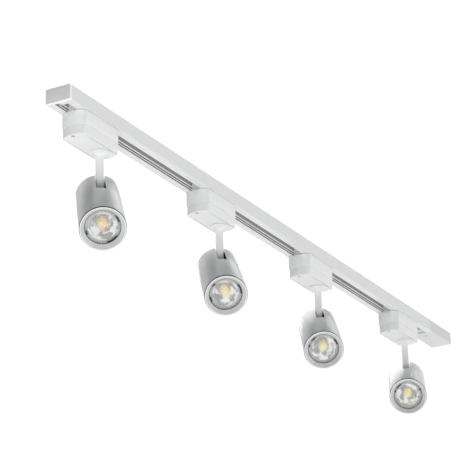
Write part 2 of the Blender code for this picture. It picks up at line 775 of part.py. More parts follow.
# ---------------------------------------------------------------- swivel arm

def arm_ring(blend, radius):
    """A section that runs from a circle, at blend 0, to the arm's rounded bar, at blend 1."""
    points = []
    for i in range(ARM_FACETS):
        angle = 2 * math.pi * i / ARM_FACETS
        c, s = math.cos(angle), math.sin(angle)
        half_x, half_y = ARM_DEPTH / 2 - ARM_EDGE, ARM_WIDTH / 2 - ARM_EDGE
        bar = (math.copysign(half_x, c) + ARM_EDGE * c, math.copysign(half_y, s) + ARM_EDGE * s)
        if abs(c) < 1e-6:
            bar = (0.0, bar[1])
        if abs(s) < 1e-6:
            bar = (bar[0], 0.0)
        points.append([(1 - blend) * radius * a + blend * b for a, b in zip((c, s), bar)])
    return points


def swivel_arm(prefix, parent):
    """A cast arm: a hollow spigot held in the cover, a trumpet flare, a slim bar and an eye.

    The frame's origin is on the swivel axis at the adapter's underside, and the head leans to +X.
    """
    top = -GAP
    rings = [(top, 0.0, FLARE_RADIUS), (top - FLARE_EDGE, 0.0, FLARE_RADIUS)]
    neck = (ARM_WIDTH + ARM_DEPTH) / 4
    for i in range(1, FLARE_RINGS + 1):
        angle = math.radians(90 * i / FLARE_RINGS)
        blend = math.sin(angle)
        drop = FLARE_EDGE + (FLARE_HEIGHT - FLARE_EDGE) * (1 - math.cos(angle))
        rings.append((top - drop, blend**2, FLARE_RADIUS - (FLARE_RADIUS - neck) * blend))
    rings.append((-ARM_LENGTH, 1.0, neck))
    build = bmesh.new()
    loops = []
    for height, blend, radius in rings:
        loops.append([build.verts.new((x, y, height)) for x, y in arm_ring(blend, radius)])
    for above, below in zip(loops, loops[1:]):
        for i, corner in enumerate(above):
            following = (i + 1) % len(above)
            build.faces.new((corner, below[i], below[following], above[following]))
    build.faces.new(loops[0])
    build.faces.new(list(reversed(loops[-1])))
    bmesh.ops.recalc_face_normals(build, faces=build.faces)
    arm = place(object_from(build, prefix + "swivel_arm"), white_coat, parent)
    spigot_top = ADAPTER_WALL + GAP + SPIGOT_RIM_HEIGHT
    spigot = cylinder(prefix + "spigot", SPIGOT_DIAMETER / 2, -FLARE_EDGE, spigot_top, parent=parent)
    rim = cylinder(prefix + "spigot_rim", SPIGOT_RIM / 2, ADAPTER_WALL + GAP, spigot_top, parent=parent)
    eye = cylinder(
        prefix + "eye", EYE_RADIUS, -ARM_WIDTH / 2, ARM_WIDTH / 2, (0, -ARM_LENGTH), axis="Y", parent=parent
    )
    pin_hole = cylinder(
        prefix + "eye_hole",
        PIN_DIAMETER / 2 + GAP,
        -ARM_WIDTH,
        ARM_WIDTH,
        (0, -ARM_LENGTH),
        SMALL_FACETS,
        axis="Y",
        parent=parent,
    )
    exit_height = WIRE_EXIT - ARM_LENGTH
    bore = cylinder(
        prefix + "wire_bore",
        WIRE_BORE / 2,
        exit_height,
        spigot_top + GAP,
        segments=SMALL_FACETS,
        parent=parent,
    )
    way_out = cylinder(
        prefix + "wire_exit",
        WIRE_BORE / 2,
        -ARM_DEPTH,
        0,
        (0, exit_height + WIRE_BORE / 4),
        SMALL_FACETS,
        axis="X",
        parent=parent,
    )
    join(arm, spigot, rim, eye)
    cut(arm, pin_hole, bore, way_out)
    return arm


# ---------------------------------------------------------------- head

def head_shell(prefix, parent):
    """The round body, in a frame whose origin is the tilt pin's middle and whose front is -Z."""
    edge = HEAD_EDGE
    shell = turned(
        prefix + "head_shell",
        [
            (0, HEAD_BEHIND),
            (HEAD_RADIUS - edge, HEAD_BEHIND),
            (HEAD_RADIUS, HEAD_BEHIND - edge),
            (HEAD_RADIUS, -HEAD_AHEAD),
            (0, -HEAD_AHEAD),
        ],
        HEAD_FACETS,
        white_coat,
        parent,
    )
    hollows = {
        "rear_hollow": (-HEAD_WEB_PLACE, HEAD_BEHIND - HEAD_WALL),
        "front_hollow": (-HEAD_BEHIND - HEAD_AHEAD, WEB_FRONT),
    }
    for hollow, ends in hollows.items():
        cut(shell, cylinder(prefix + hollow, BORE_RADIUS, *ends, segments=HEAD_FACETS, parent=parent))
    boss_inner = ARM_WIDTH / 2 + PIN_WASHER_GAP
    for side in (-1, 1):
        ends = sorted((side * boss_inner, side * (BORE_RADIUS + HEAD_WALL / 2)))
        boss = cylinder(
            prefix + "pin_boss", PIN_BOSS / 2, *ends, segments=SMALL_FACETS, axis="Y", parent=parent
        )
        lead_hole = cylinder(
            prefix + "lead_hole",
            LEAD_HOLE / 2,
            -HEAD_AHEAD,
            0,
            (0, side * LEAD_PLACE),
            SMALL_FACETS,
            parent=parent,
        )
        join(shell, boss)
        cut(shell, lead_hole)
    slot_far = HEAD_BEHIND - HEAD_SLOT_LENGTH
    side_slot = box(
        prefix + "arm_slot",
        (BORE_RADIUS / 2, -HEAD_SLOT_WIDTH / 2, slot_far),
        (2 * HEAD_RADIUS, HEAD_SLOT_WIDTH / 2, 2 * HEAD_BEHIND),
        parent=parent,
    )
    rear_slot = box(
        prefix + "rear_slot",
        (-ARM_DEPTH, -HEAD_SLOT_WIDTH / 2, HEAD_BEHIND - 2 * HEAD_WALL),
        (HEAD_RADIUS, HEAD_SLOT_WIDTH / 2, 2 * HEAD_BEHIND),
        parent=parent,
    )
    pin_hole = cylinder(
        prefix + "pin_hole",
        PIN_DIAMETER / 2 + GAP,
        -HEAD_DIAMETER,
        HEAD_DIAMETER,
        segments=SMALL_FACETS,
        axis="Y",
        parent=parent,
    )
    cut(shell, side_slot, rear_slot, pin_hole)
    return shell


def front_bezel(prefix, parent):
    """The ring that screws into the front, with a bright face and a funnel down to the lens."""
    outer, mouth = BEZEL_RADIUS, BEZEL_BORE - BEZEL_LEDGE
    spigot = BORE_RADIUS - GAP
    back = BEZEL_BACK + BEZEL_SPIGOT_LENGTH
    lens_side = BEZEL_FRONT + BEZEL_DEPTH
    return turned(
        prefix + "front_bezel",
        [
            (spigot, back),
            (spigot, BEZEL_BACK),
            (outer, BEZEL_BACK),
            (outer, BEZEL_FRONT + BEZEL_EDGE),
            (outer - BEZEL_EDGE, BEZEL_FRONT),
            (outer - BEZEL_FACE, BEZEL_FRONT),
            (mouth, lens_side - GAP),
            (mouth, lens_side),
            (BEZEL_BORE, lens_side),
            (BEZEL_BORE, back),
        ],
        HEAD_FACETS,
        white_coat,
        parent,
        closed=True,
    )


def lens(prefix, parent):
    """A moulded collimating lens: a flat face, a flange, and a body that narrows to the lamp."""
    flange_back = LENS_FRONT + LENS_FLANGE_HEIGHT
    back = LENS_FRONT + LENS_HEIGHT
    well = back - LENS_WELL_DEPTH
    profile = [(0, well), (LENS_WELL, well), (LENS_WELL, back), (LENS_FOOT, back)]
    for i in range(1, LENS_RINGS + 1):
        share = i / LENS_RINGS
        radius = LENS_FOOT + (LENS_BODY - LENS_FOOT) * math.sqrt(share)
        profile.append((radius, back + (flange_back - back) * share))
    profile += [(LENS_RADIUS, flange_back), (LENS_RADIUS, LENS_FRONT), (0, LENS_FRONT)]
    return turned(prefix + "lens", profile, LENS_FACETS, clear_plastic, parent)


def led_module(prefix, parent):
    """The lamp: a square metal-core board with its round light-giving spot."""
    front = LED_BACK - LED_BOARD_HEIGHT
    board = box(
        prefix + "led_module",
        (-LED_BOARD / 2, -LED_BOARD / 2, front),
        (LED_BOARD / 2, LED_BOARD / 2, LED_BACK),
        phosphor,
        parent,
    )
    spot = cylinder(prefix + "led_spot", LED_SPOT, front - LED_SPOT_HEIGHT, front + GAP, parent=parent)
    join(board, spot)
    return board


# ---------------------------------------------------------------- the four spots

for number, (share, pan, tilt) in enumerate(SPOTS, 1):
    prefix = f"spot{number}_"
    along = rail_left + share * RAIL_LENGTH
    adapter_frame = empty(prefix + "slide_axis", location=(along, 0, 0))
    adapter_housing(prefix, adapter_frame)
    adapter_cover(prefix, adapter_frame)
    screw(prefix + "cover_screw", SCREW_X, ADAPTER_BOTTOM, adapter_frame)
    driver_board(prefix, adapter_frame)

    lock_frame = empty(prefix + "lock_axis", adapter_frame)
    lock_turret(prefix, lock_frame)
    contact_blade(prefix, "contact_front", -1, lock_frame)
    contact_blade(prefix, "contact_rear", 1, lock_frame)

    arm_frame = empty(
        prefix + "pan_axis", adapter_frame, (ARM_PLACE, 0, ADAPTER_BOTTOM), (0, 0, math.radians(180 + pan))
    )
    swivel_arm(prefix, arm_frame)

    head_frame = empty(prefix + "tilt_axis", arm_frame, (0, 0, -ARM_LENGTH), (0, -math.radians(tilt), 0))
    pin_half = HEAD_RADIUS - HEAD_EDGE
    cylinder(
        prefix + "tilt_pin",
        PIN_DIAMETER / 2,
        -pin_half,
        pin_half,
        segments=SMALL_FACETS,
        axis="Y",
        finish=steel,
        parent=head_frame,
    )
    head_shell(prefix, head_frame)
    front_bezel(prefix, head_frame)
    lens(prefix, head_frame)
    led_module(prefix, head_frame)

for obj in fixture.objects:
    if obj.type == "MESH":
        obj.data.shade_smooth()
        obj.data.set_sharp_from_angle(angle=math.radians(35))
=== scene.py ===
"""Track lighting fixture: a white surface track with four aimable spots, seen from below.

The sections follow the fixture as it is put together: the track and its inner parts, the two end
pieces, then the adapters, arms, heads and lamps of the spots, and last the studio around it.
"""

import math

import bmesh
import bpy
from mathutils import Matrix, Vector
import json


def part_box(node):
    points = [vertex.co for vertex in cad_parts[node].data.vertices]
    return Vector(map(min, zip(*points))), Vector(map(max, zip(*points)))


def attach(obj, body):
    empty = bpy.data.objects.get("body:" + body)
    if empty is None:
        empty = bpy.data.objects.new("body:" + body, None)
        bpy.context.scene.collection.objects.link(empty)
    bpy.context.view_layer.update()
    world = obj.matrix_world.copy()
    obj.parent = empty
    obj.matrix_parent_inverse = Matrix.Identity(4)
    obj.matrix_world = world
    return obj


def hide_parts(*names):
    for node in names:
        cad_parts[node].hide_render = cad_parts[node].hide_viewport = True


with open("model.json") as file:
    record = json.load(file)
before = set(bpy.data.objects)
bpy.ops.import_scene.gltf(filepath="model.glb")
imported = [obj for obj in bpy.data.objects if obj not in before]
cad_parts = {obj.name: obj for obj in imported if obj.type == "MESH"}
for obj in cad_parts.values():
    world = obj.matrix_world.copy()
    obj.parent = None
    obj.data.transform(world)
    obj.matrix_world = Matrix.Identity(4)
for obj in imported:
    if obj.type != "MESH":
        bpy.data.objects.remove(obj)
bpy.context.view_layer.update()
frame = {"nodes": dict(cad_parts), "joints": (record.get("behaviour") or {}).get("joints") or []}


# ---- Track body ----------------------------------------------------------------------------
# A thin aluminium extrusion, open along its underside, with a rim turned up along each lip.
# It is powder coated satin white with a fine orange peel, and inside the channel it is painted dark
# grey as painted shade.

MM = 0.001
nodes = frame["nodes"]


class Wire:
    """One socket of a material: sums on it add Math nodes, and node() adds any other node."""

    def __init__(self, tree, socket=None):
        self.tree = tree
        self.socket = socket

    def node(self, kind, settings, sockets, output=0):
        made = self.tree.nodes.new(kind)
        for name, value in settings.items():
            if name == "stops":
                ramp = made.color_ramp
                while len(ramp.elements) < len(value):
                    ramp.elements.new(1.0)
                for element, (place, colour) in zip(ramp.elements, value):
                    element.position = place
                    element.color = (*colour, 1.0)
            else:
                setattr(made, name, value)
        for name, value in sockets.items():
            if isinstance(value, Wire):
                self.tree.links.new(value.socket, made.inputs[name])
            else:
                made.inputs[name].default_value = value
        return Wire(self.tree, made.outputs[output])

    def maths(self, operation, first, second=0.0):
        return self.node("ShaderNodeMath", {"operation": operation}, {0: first, 1: second})

    def __add__(self, other):
        return self.maths("ADD", self, other)

    def __sub__(self, other):
        return self.maths("SUBTRACT", self, other)

    def __rsub__(self, other):
        return self.maths("SUBTRACT", other, self)

    def __mul__(self, other):
        return self.maths("MULTIPLY", self, other)

    __radd__ = __add__
    __rmul__ = __mul__

    def noise(self, scale, detail=2.0, roughness=0.5, stretch=(1, 1, 1)):
        """Noise in metres along the object's own axes, stretched where stretch is under 1."""
        where = self.node("ShaderNodeTexCoord", {}, {}, "Object")
        where = self.node("ShaderNodeMapping", {}, {"Vector": where, "Scale": stretch})
        return self.node(
            "ShaderNodeTexNoise",
            {},
            {"Vector": where, "Scale": scale, "Detail": detail, "Roughness": roughness},
            "Fac",
        )

    def blend(self, amount, first, second):
        """A colour that runs from first to second as amount goes from 0 to 1."""
        return self.node(
            "ShaderNodeMix",
            {"data_type": "RGBA"},
            {"Factor": amount, 6: (*first, 1.0), 7: (*second, 1.0)},
            2,
        )

    def bump(self, height, distance, strength=1.0):
        return self.node(
            "ShaderNodeBump", {}, {"Height": height, "Distance": distance, "Strength": strength}
        )


def shader(name, **constants):
    """A new material: returns it, a Wire to build its nodes on, and its Principled shader."""
    made = bpy.data.materials.new(name)
    made.use_nodes = True
    principled = made.node_tree.nodes["Principled BSDF"]
    for socket, value in constants.items():
        principled.inputs[socket.replace("_", " ")].default_value = value
    return made, Wire(made.node_tree), principled


def connect(principled, **wires):
    for socket, wire in wires.items():
        wire.tree.links.new(wire.socket, principled.inputs[socket.replace("_", " ")])


def dress(name, finish):
    """Puts a finish on a piece of the frame, in place of its plain one."""
    materials = nodes[name].data.materials
    materials.clear()
    materials.append(finish)


def powder_coat(name, light, shade, gloss=0.6):
    made, wire, principled = shader(
        name, Coat_Weight=gloss, Coat_Roughness=0.22, Coat_IOR=1.5, Specular_IOR_Level=0.5
    )
    cloud = wire.noise(22.0, 3.0)
    peel = wire.noise(900.0, 2.0, 0.55)
    grain = wire.noise(4200.0, 1.0)
    connect(
        principled,
        Base_Color=wire.blend(cloud, light, shade),
        Roughness=0.40 + 0.10 * cloud + 0.06 * peel,
        Normal=wire.bump(peel + 0.25 * grain, 0.00006, 0.55),
    )
    return made


# Painted shade: inside the channel the white is swapped for a dark grey, for the shade in the slot.
CHANNEL_SHADE_GREY = (0.24, 0.24, 0.24)
CHANNEL_HALF = 15.8 * MM
SHADE_MARGIN = 0.35 * MM  # how far the coat creeps into the slot and the screw holes
white_coat = powder_coat("white_powder_coat", (0.81, 0.82, 0.815), (0.77, 0.78, 0.77))
principled = white_coat.node_tree.nodes["Principled BSDF"]
wire = Wire(white_coat.node_tree)
where = wire.node("ShaderNodeTexCoord", {}, {}, "Object")
across = wire.node("ShaderNodeSeparateXYZ", {}, {"Vector": where}, "Y")
upward = wire.node("ShaderNodeSeparateXYZ", {}, {"Vector": where}, "Z")
rail_low, rail_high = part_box("rail_body")
channel_shade_mask = wire.maths("LESS_THAN", wire.maths("ABSOLUTE", across), CHANNEL_HALF)
channel_shade_mask = channel_shade_mask * wire.maths("GREATER_THAN", upward, rail_low.z + SHADE_MARGIN)
channel_shade_mask = channel_shade_mask * wire.maths("LESS_THAN", upward, -SHADE_MARGIN)
coated = Wire(white_coat.node_tree, principled.inputs["Base Color"].links[0].from_socket)
# the painted shade inside the channel
channel_shaded = wire.node(
    "ShaderNodeMix", {"data_type": "RGBA"}, {"Factor": channel_shade_mask, 6: coated, 7: (*CHANNEL_SHADE_GREY, 1.0)}, 2
)
connect(principled, Base_Color=channel_shaded)
dress("rail_body", white_coat)


# ---- Insulator and conductors ---------------------------------------------------------------
# A grey plastic extrusion pushed into the track from one end, with a groove down each side between
# two ribs. The ribs are painted near white and made to glow a little, as painted light, and the grooves
# and the wall above are painted dark, as painted shade. Its die leaves faint lines, and a tinned copper
# strip lies in each groove.

LOWER_RIB = (-14.85 * MM, -13.65 * MM)
UPPER_RIB = (-10.85 * MM, -9.65 * MM)
TONE_STEP = 0.006  # share of the track's height over which one tone gives way to the next
# Painted light and shade: the ribs are near white as if lit from below, and the groove and the wall
# above are dark for the shade deeper in.
GROOVE_SHADE = (0.10, 0.10, 0.10)
RIB_HIGHLIGHT = (0.93, 0.93, 0.92)
WALL_SHADE = (0.32, 0.32, 0.315)
made, wire, principled = shader("grey_insulator", Specular_IOR_Level=0.4, Emission_Strength=0.31)
where = wire.node("ShaderNodeTexCoord", {}, {}, "Object")
level = wire.node("ShaderNodeSeparateXYZ", {}, {"Vector": where}, "Z")
stops = []
for (foot, top), above in ((LOWER_RIB, GROOVE_SHADE), (UPPER_RIB, WALL_SHADE)):
    rib_foot, rib_top = 1.0 - foot / rail_low.z, 1.0 - top / rail_low.z
    stops += [(rib_foot - TONE_STEP, GROOVE_SHADE), (rib_foot, RIB_HIGHLIGHT)]
    stops += [(rib_top, RIB_HIGHLIGHT), (rib_top + TONE_STEP, above)]
share = 1.0 + level * (1 / -rail_low.z)
painted_light_bands = wire.node("ShaderNodeValToRGB", {"stops": stops}, {"Fac": share}, "Color")
lines = wire.noise(1400.0, 2.0, stretch=(0.004, 1, 1))
mottle = wire.noise(60.0, 3.0)
lined_light_bands = wire.node(
    "ShaderNodeMix",
    {"data_type": "RGBA", "blend_type": "MULTIPLY"},
    {"Factor": 0.12 * lines + 0.1 * mottle, 6: painted_light_bands, 7: (0.5, 0.5, 0.5, 1.0)},
    2,
)
# The bands also drive a faint glow: painted light.
connect(
    principled,
    Base_Color=lined_light_bands,
    Emission_Color=painted_light_bands,
    Roughness=0.42 + 0.2 * lines,
    Normal=wire.bump(lines, 0.00004, 0.6),
)
insulator_grey = made
dress("rail_insulator", insulator_grey)

made, wire, principled = shader("tinned_copper", Metallic=1.0)
drawn = wire.noise(2600.0, 2.0, stretch=(0.003, 1, 1))
tarnish = wire.noise(35.0, 4.0, 0.6)
connect(
    principled,
    Base_Color=wire.blend(tarnish, (0.46, 0.45, 0.44), (0.36, 0.34, 0.33)),
    Roughness=0.22 + 0.18 * drawn + 0.10 * tarnish,
    Normal=wire.bump(drawn, 0.00002, 0.5),
)
tinned_copper = made
for name in ("conductor_front", "conductor_rear"):
    dress(name, tinned_copper)


# ---- End cap ---------------------------------------------------------------------------------
# A moulded plastic plug that closes the track's left end, flush with it all round. Its tongue is
# pushed into the channel, and its long edges and outer face are softly rounded in the mould.


def moulded_plastic(name, light, shade, roughness=0.36):
    made, wire, principled = shader(name, Specular_IOR_Level=0.5)
    flow = wire.noise(30.0, 3.0)
    texture = wire.noise(2600.0, 2.0, 0.6)
    connect(
        principled,
        Base_Color=wire.blend(flow, light, shade),
        Roughness=roughness + 0.06 * flow + 0.08 * texture,
        Normal=wire.bump(texture, 0.00003, 0.5),
    )
    return made


def finished(build, name, finish, place=None, sharp=32.0):
    """Makes a bmesh a smooth-shaded object at the origin, with its place in its mesh."""
    bmesh.ops.remove_doubles(build, verts=build.verts, dist=1e-6)
    if place:
        bmesh.ops.transform(build, matrix=place, verts=build.verts)
    bmesh.ops.recalc_face_normals(build, faces=build.faces)
    mesh = bpy.data.meshes.new(name)
    build.to_mesh(mesh)
    build.free()
    mesh.materials.append(finish)
    mesh.shade_smooth()
    mesh.set_sharp_from_angle(angle=math.radians(sharp))
    piece = bpy.data.objects.new(name, mesh)
    bpy.context.scene.collection.objects.link(piece)
    return piece


def block(low, high):
    """A bmesh block between two corners."""
    build = bmesh.new()
    bmesh.ops.create_cube(build, size=1.0)
    bmesh.ops.translate(build, verts=build.verts, vec=(0.5, 0.5, 0.5))
    bmesh.ops.scale(build, verts=build.verts, vec=Vector(high) - Vector(low))
    bmesh.ops.translate(build, verts=build.verts, vec=low)
    return build


def soften(build, edges, radius, segments=4):
    bmesh.ops.bevel(
        build, geom=edges, offset=radius, segments=segments, affect="EDGES", profile=0.5, material=-1
    )


def merged(first, second):
    """Adds one bmesh to another as a separate closed shell."""
    carrier = bpy.data.meshes.new("carrier")
    second.to_mesh(carrier)
    second.free()
    first.from_mesh(carrier)
    bpy.data.meshes.remove(carrier)
    return first


# Lit and shaded copies of one plastic: the cap in a lighter copy as painted light, the live end in a
# darker copy as painted shade, and the cap's outer end face in a darker, rougher copy as painted shade.
live_end_shaded_plastic = moulded_plastic("live_end_shaded_plastic", (0.73, 0.74, 0.735), (0.69, 0.70, 0.695))
cap_lit_plastic = moulded_plastic("cap_lit_plastic", (0.96, 0.97, 0.97), (0.93, 0.94, 0.94))
end_face_shaded_plastic = moulded_plastic("end_face_painted_shade", (0.80, 0.81, 0.83), (0.76, 0.77, 0.79), 0.5)
CAP_CORNER = 1.6 * MM
CAP_FACE_EDGE = 0.7 * MM
CAP_TONGUE_HALF = 9.3 * MM
CAP_TONGUE_FOOT = -15.7 * MM
CAP_TONGUE_TOP = -3.6 * MM
SEAM = 0.3 * MM

low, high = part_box("end_cap")
cap_seam = rail_low.x - SEAM
build = block((low.x, rail_low.y, rail_low.z), (cap_seam, rail_high.y, rail_high.z))
along = [edge for edge in build.edges if abs(edge.verts[0].co.x - edge.verts[1].co.x) > MM]
soften(build, along, CAP_CORNER, 5)
outer = [edge for edge in build.edges if all(vert.co.x < low.x + MM / 10 for vert in edge.verts)]
soften(build, outer, CAP_FACE_EDGE, 3)
tongue = block(
    (cap_seam - MM / 10, -CAP_TONGUE_HALF, CAP_TONGUE_FOOT), (high.x, CAP_TONGUE_HALF, CAP_TONGUE_TOP)
)
soften(tongue, tongue.edges[:], 0.5 * MM, 2)
end_cap = finished(merged(build, tongue), "end_cap_moulding", cap_lit_plastic)
# the cap's outer end face takes the darker copy: painted shade
end_cap.data.materials.append(end_face_shaded_plastic)
for face in end_cap.data.polygons:
    if face.normal.x < -0.9 and face.center.x < cap_seam - MM:
        face.material_index = 1
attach(end_cap, "track")
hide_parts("end_cap")


# ---- Live end --------------------------------------------------------------------------------
# The feed box at the right end, moulded in the same plastic and painted in a darker copy of it as
# painted shade, with a round inlet for the supply cable. One screw from below holds it to a black
# terminal block inside.

dress("live_end_housing", live_end_shaded_plastic)
black_plastic = moulded_plastic("black_plastic", (0.018, 0.018, 0.019), (0.030, 0.030, 0.031), 0.45)
dress("terminal_block", black_plastic)


# ---- Screws ----------------------------------------------------------------------------------
# Zinc-plated pan heads with a straight slot: one under the live end, and one under each adapter
# near its left tip. The plating is bright.

made, wire, principled = shader("zinc_plate", Metallic=1.0)
bloom = wire.noise(700.0, 4.0, 0.6)
connect(
    principled,
    Base_Color=wire.blend(bloom, (0.68, 0.69, 0.70), (0.50, 0.51, 0.52)),
    Roughness=0.24 + 0.22 * bloom,
    Normal=wire.bump(bloom, 0.00002, 0.4),
)
zinc_plate = made


def turned(profile, steps, closed=False):
    """A bmesh turned about the Z axis from a profile of (radius, height) points."""
    build = bmesh.new()
    corners = [build.verts.new((radius, 0, height)) for radius, height in profile]
    edges = [build.edges.new(pair) for pair in zip(corners, corners[1:])]
    if closed:
        edges.append(build.edges.new((corners[-1], corners[0])))
    bmesh.ops.spin(
        build,
        geom=corners + edges,
        cent=(0, 0, 0),
        axis=(0, 0, 1),
        angle=2 * math.pi,
        steps=steps,
        use_merge=True,
    )
    bmesh.ops.remove_doubles(build, verts=build.verts, dist=1e-6)
    return build


def fillet(corner, before, after, radius, steps=4):
    """Points that round one corner of a profile, between the points before and after it."""
    corner, before, after = Vector(corner), Vector(before), Vector(after)
    first = corner + (before - corner).normalized() * radius
    last = corner + (after - corner).normalized() * radius
    points = []
    for i in range(steps + 1):
        share = i / steps
        bent = first * (1 - share) ** 2 + corner * 2 * share * (1 - share) + last * share**2
        points.append((bent.x, bent.y))
    return points


def carved(piece, cutters):
    """Cuts each cutter out of a piece, leaving no modifier and no cutter behind."""
    for cutter in cutters:
        cut = piece.modifiers.new("cut", "BOOLEAN")
        cut.operation = "DIFFERENCE"
        cut.object = cutter
    graph = bpy.context.evaluated_depsgraph_get()
    mesh = bpy.data.meshes.new_from_object(piece.evaluated_get(graph))
    piece.modifiers.clear()
    piece.data = mesh
    mesh.set_sharp_from_angle(angle=math.radians(32))
    for cutter in cutters:
        bpy.data.objects.remove(cutter)
    return piece


SPOTS = (1, 2, 3, 4)
SCREW_HEAD = 2.3 * MM
SCREW_HEAD_HEIGHT = 1.2 * MM
SCREW_SHANK = 1.3 * MM
SCREW_SLOT = 0.9 * MM
SLOT_DEPTH = 0.6 * MM

screws = {"live_end_screw": "track"}
for spot in SPOTS:
    screws[f"spot{spot}_cover_screw"] = f"adapter_{spot}"
for node, body in screws.items():
    low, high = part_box(node)
    crown = [(0, low.z), (SCREW_HEAD * 0.7, low.z)]
    crown += fillet((SCREW_HEAD, low.z), crown[-1], (SCREW_HEAD, high.z), SCREW_HEAD_HEIGHT / 2)
    top = low.z + SCREW_HEAD_HEIGHT
    shank = [(SCREW_HEAD, top), (SCREW_SHANK, top), (SCREW_SHANK, high.z - 0.8 * MM)]
    build = turned(crown + shank + [(0.4 * MM, high.z), (0, high.z)], 40)
    groove = block((-3 * MM, -SCREW_SLOT / 2, low.z - MM), (3 * MM, SCREW_SLOT / 2, low.z + SLOT_DEPTH))
    screw = finished(build, node.replace("_screw", "_pan_screw"), zinc_plate)
    screw = carved(screw, [finished(groove, "groove", zinc_plate)])
    screw.data.transform(Matrix.Translation(((low.x + high.x) / 2, 0, 0)))
    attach(screw, body)
    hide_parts(node)


# ---- Adapter housings --------------------------------------------------------------------------
# The upper half of each adapter box, moulded with straight long sides, two ends that bow out and
# a hollow tongue that slides in the track's slot. A slot in its rear wall lets the lock lever out.

ADAPTER_LENGTH = 82.5 * MM
ADAPTER_WIDTH = 34.0 * MM
END_BULGE = 7.2 * MM
PLAN_CORNER = 2.5 * MM
ADAPTER_WALL = 1.8 * MM
ADAPTER_EDGE = 0.45 * MM


def bowed_block(low, high, inset=0.0):
    """A bmesh block between two heights whose plan is the adapter's, smaller by inset."""
    half_width = ADAPTER_WIDTH / 2
    bow = (half_width**2 + END_BULGE**2) / (2 * END_BULGE)
    middle = ADAPTER_LENGTH / 2 - bow
    build = bmesh.new()
    bmesh.ops.create_grid(build, x_segments=1, y_segments=28, size=1.0)
    for vert in build.verts:
        y = vert.co.y * (half_width - inset)
        reach = middle + math.sqrt((bow - inset) ** 2 - y**2)
        vert.co = (math.copysign(reach, vert.co.x), y, low)
    grown = bmesh.ops.extrude_face_region(build, geom=build.faces[:])["geom"]
    risen = [item for item in grown if isinstance(item, bmesh.types.BMVert)]
    bmesh.ops.translate(build, verts=risen, vec=(0, 0, high - low))
    bmesh.ops.recalc_face_normals(build, faces=build.faces)
    limit = half_width - inset - MM / 10
    upright = []
    for edge in build.edges:
        first, second = (vert.co for vert in edge.verts)
        if abs(first.y) > limit and abs(first.z - second.z) > MM and abs(first.x - second.x) < MM:
            upright.append(edge)
    soften(build, upright, max(PLAN_CORNER - inset, MM / 2), 6)
    return build


def rim_edges(build, height):
    """The edges round a flat face at one height, where it meets the walls."""
    edges = []
    for edge in build.edges:
        if all(abs(vert.co.z - height) < MM / 100 for vert in edge.verts):
            facing = [abs(face.normal.z) for face in edge.link_faces]
            if min(facing) < 0.5:
                edges.append(edge)
    return edges


def ring_way(low, high, inner, outer, start, end):
    """A bmesh sector of a ring about the Z axis, between two angles in degrees."""
    build = bmesh.new()
    section = ((inner, low), (outer, low), (outer, high), (inner, high))
    corners = [build.verts.new((radius, 0, height)) for radius, height in section]
    face = build.faces.new(corners)
    bmesh.ops.rotate(
        build, verts=build.verts, cent=(0, 0, 0), matrix=Matrix.Rotation(math.radians(start), 3, "Z")
    )
    bmesh.ops.spin(
        build,
        geom=[face] + face.edges[:] + corners,
        cent=(0, 0, 0),
        axis=(0, 0, 1),
        angle=math.radians(end - start),
        steps=24,
    )
    return build


white_plastic = moulded_plastic("white_plastic", (0.90, 0.91, 0.90), (0.87, 0.88, 0.865))
LEVER_SWEEP = (33.0, 147.0)
LEVER_WAY_HEIGHT = 3.0 * MM
LEVER_WAY_INNER = 4.5 * MM
LEVER_WAY_OUTER = 28.8 * MM
HOUSING_HEIGHT = 18.0 * MM
TONGUE_START = 11.4 * MM
TONGUE_END = 36.0 * MM
TONGUE_HALF = 7.2 * MM
housing_top = rail_low.z - SEAM
housing_seam = housing_top - HOUSING_HEIGHT
lever_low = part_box("spot1_lock_turret")[0].z - 0.6 * MM
for spot in SPOTS:
    low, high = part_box(f"spot{spot}_adapter_housing")
    middle = (low.x + high.x) / 2
    build = bowed_block(housing_seam, housing_top)
    soften(build, rim_edges(build, housing_top), ADAPTER_EDGE * 2, 3)
    soften(build, rim_edges(build, housing_seam), ADAPTER_EDGE / 2, 2)
    for side in (-1, 1):
        ends = sorted((side * TONGUE_START, side * TONGUE_END))
        tongue = block((ends[0], -TONGUE_HALF, housing_top - MM), (ends[1], TONGUE_HALF, high.z))
        soften(tongue, tongue.edges[:], 0.6 * MM, 3)
        build = merged(build, tongue)
    hollow = bowed_block(housing_seam - MM, housing_top - ADAPTER_WALL, ADAPTER_WALL)
    way_top = lever_low + LEVER_WAY_HEIGHT
    way = ring_way(lever_low, way_top, LEVER_WAY_INNER, LEVER_WAY_OUTER, *LEVER_SWEEP)
    cutters = [finished(hollow, "hollow", white_plastic), finished(way, "lever_way", white_plastic)]
    housing = carved(finished(build, f"spot{spot}_adapter_upper", white_plastic), cutters)
    housing.data.transform(Matrix.Translation((middle, 0, 0)))
    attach(housing, f"adapter_{spot}")
    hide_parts(f"spot{spot}_adapter_housing")


# ---- Adapter covers ----------------------------------------------------------------------------
# The lower half of each box, a step smaller all round, so a fine shadow line runs round the joint.
# Its bottom edge is rounded, and it is held by one sunk screw at the left and a rim inside.

joints = {joint["name"]: joint for joint in frame["joints"]}
COVER_STEP = 0.8 * MM
COVER_EDGE = 1.1 * MM
SPIGOT_HOLE = 6.0 * MM
SCREW_SINK = 2.6 * MM
SINK_DEPTH = 1.5 * MM

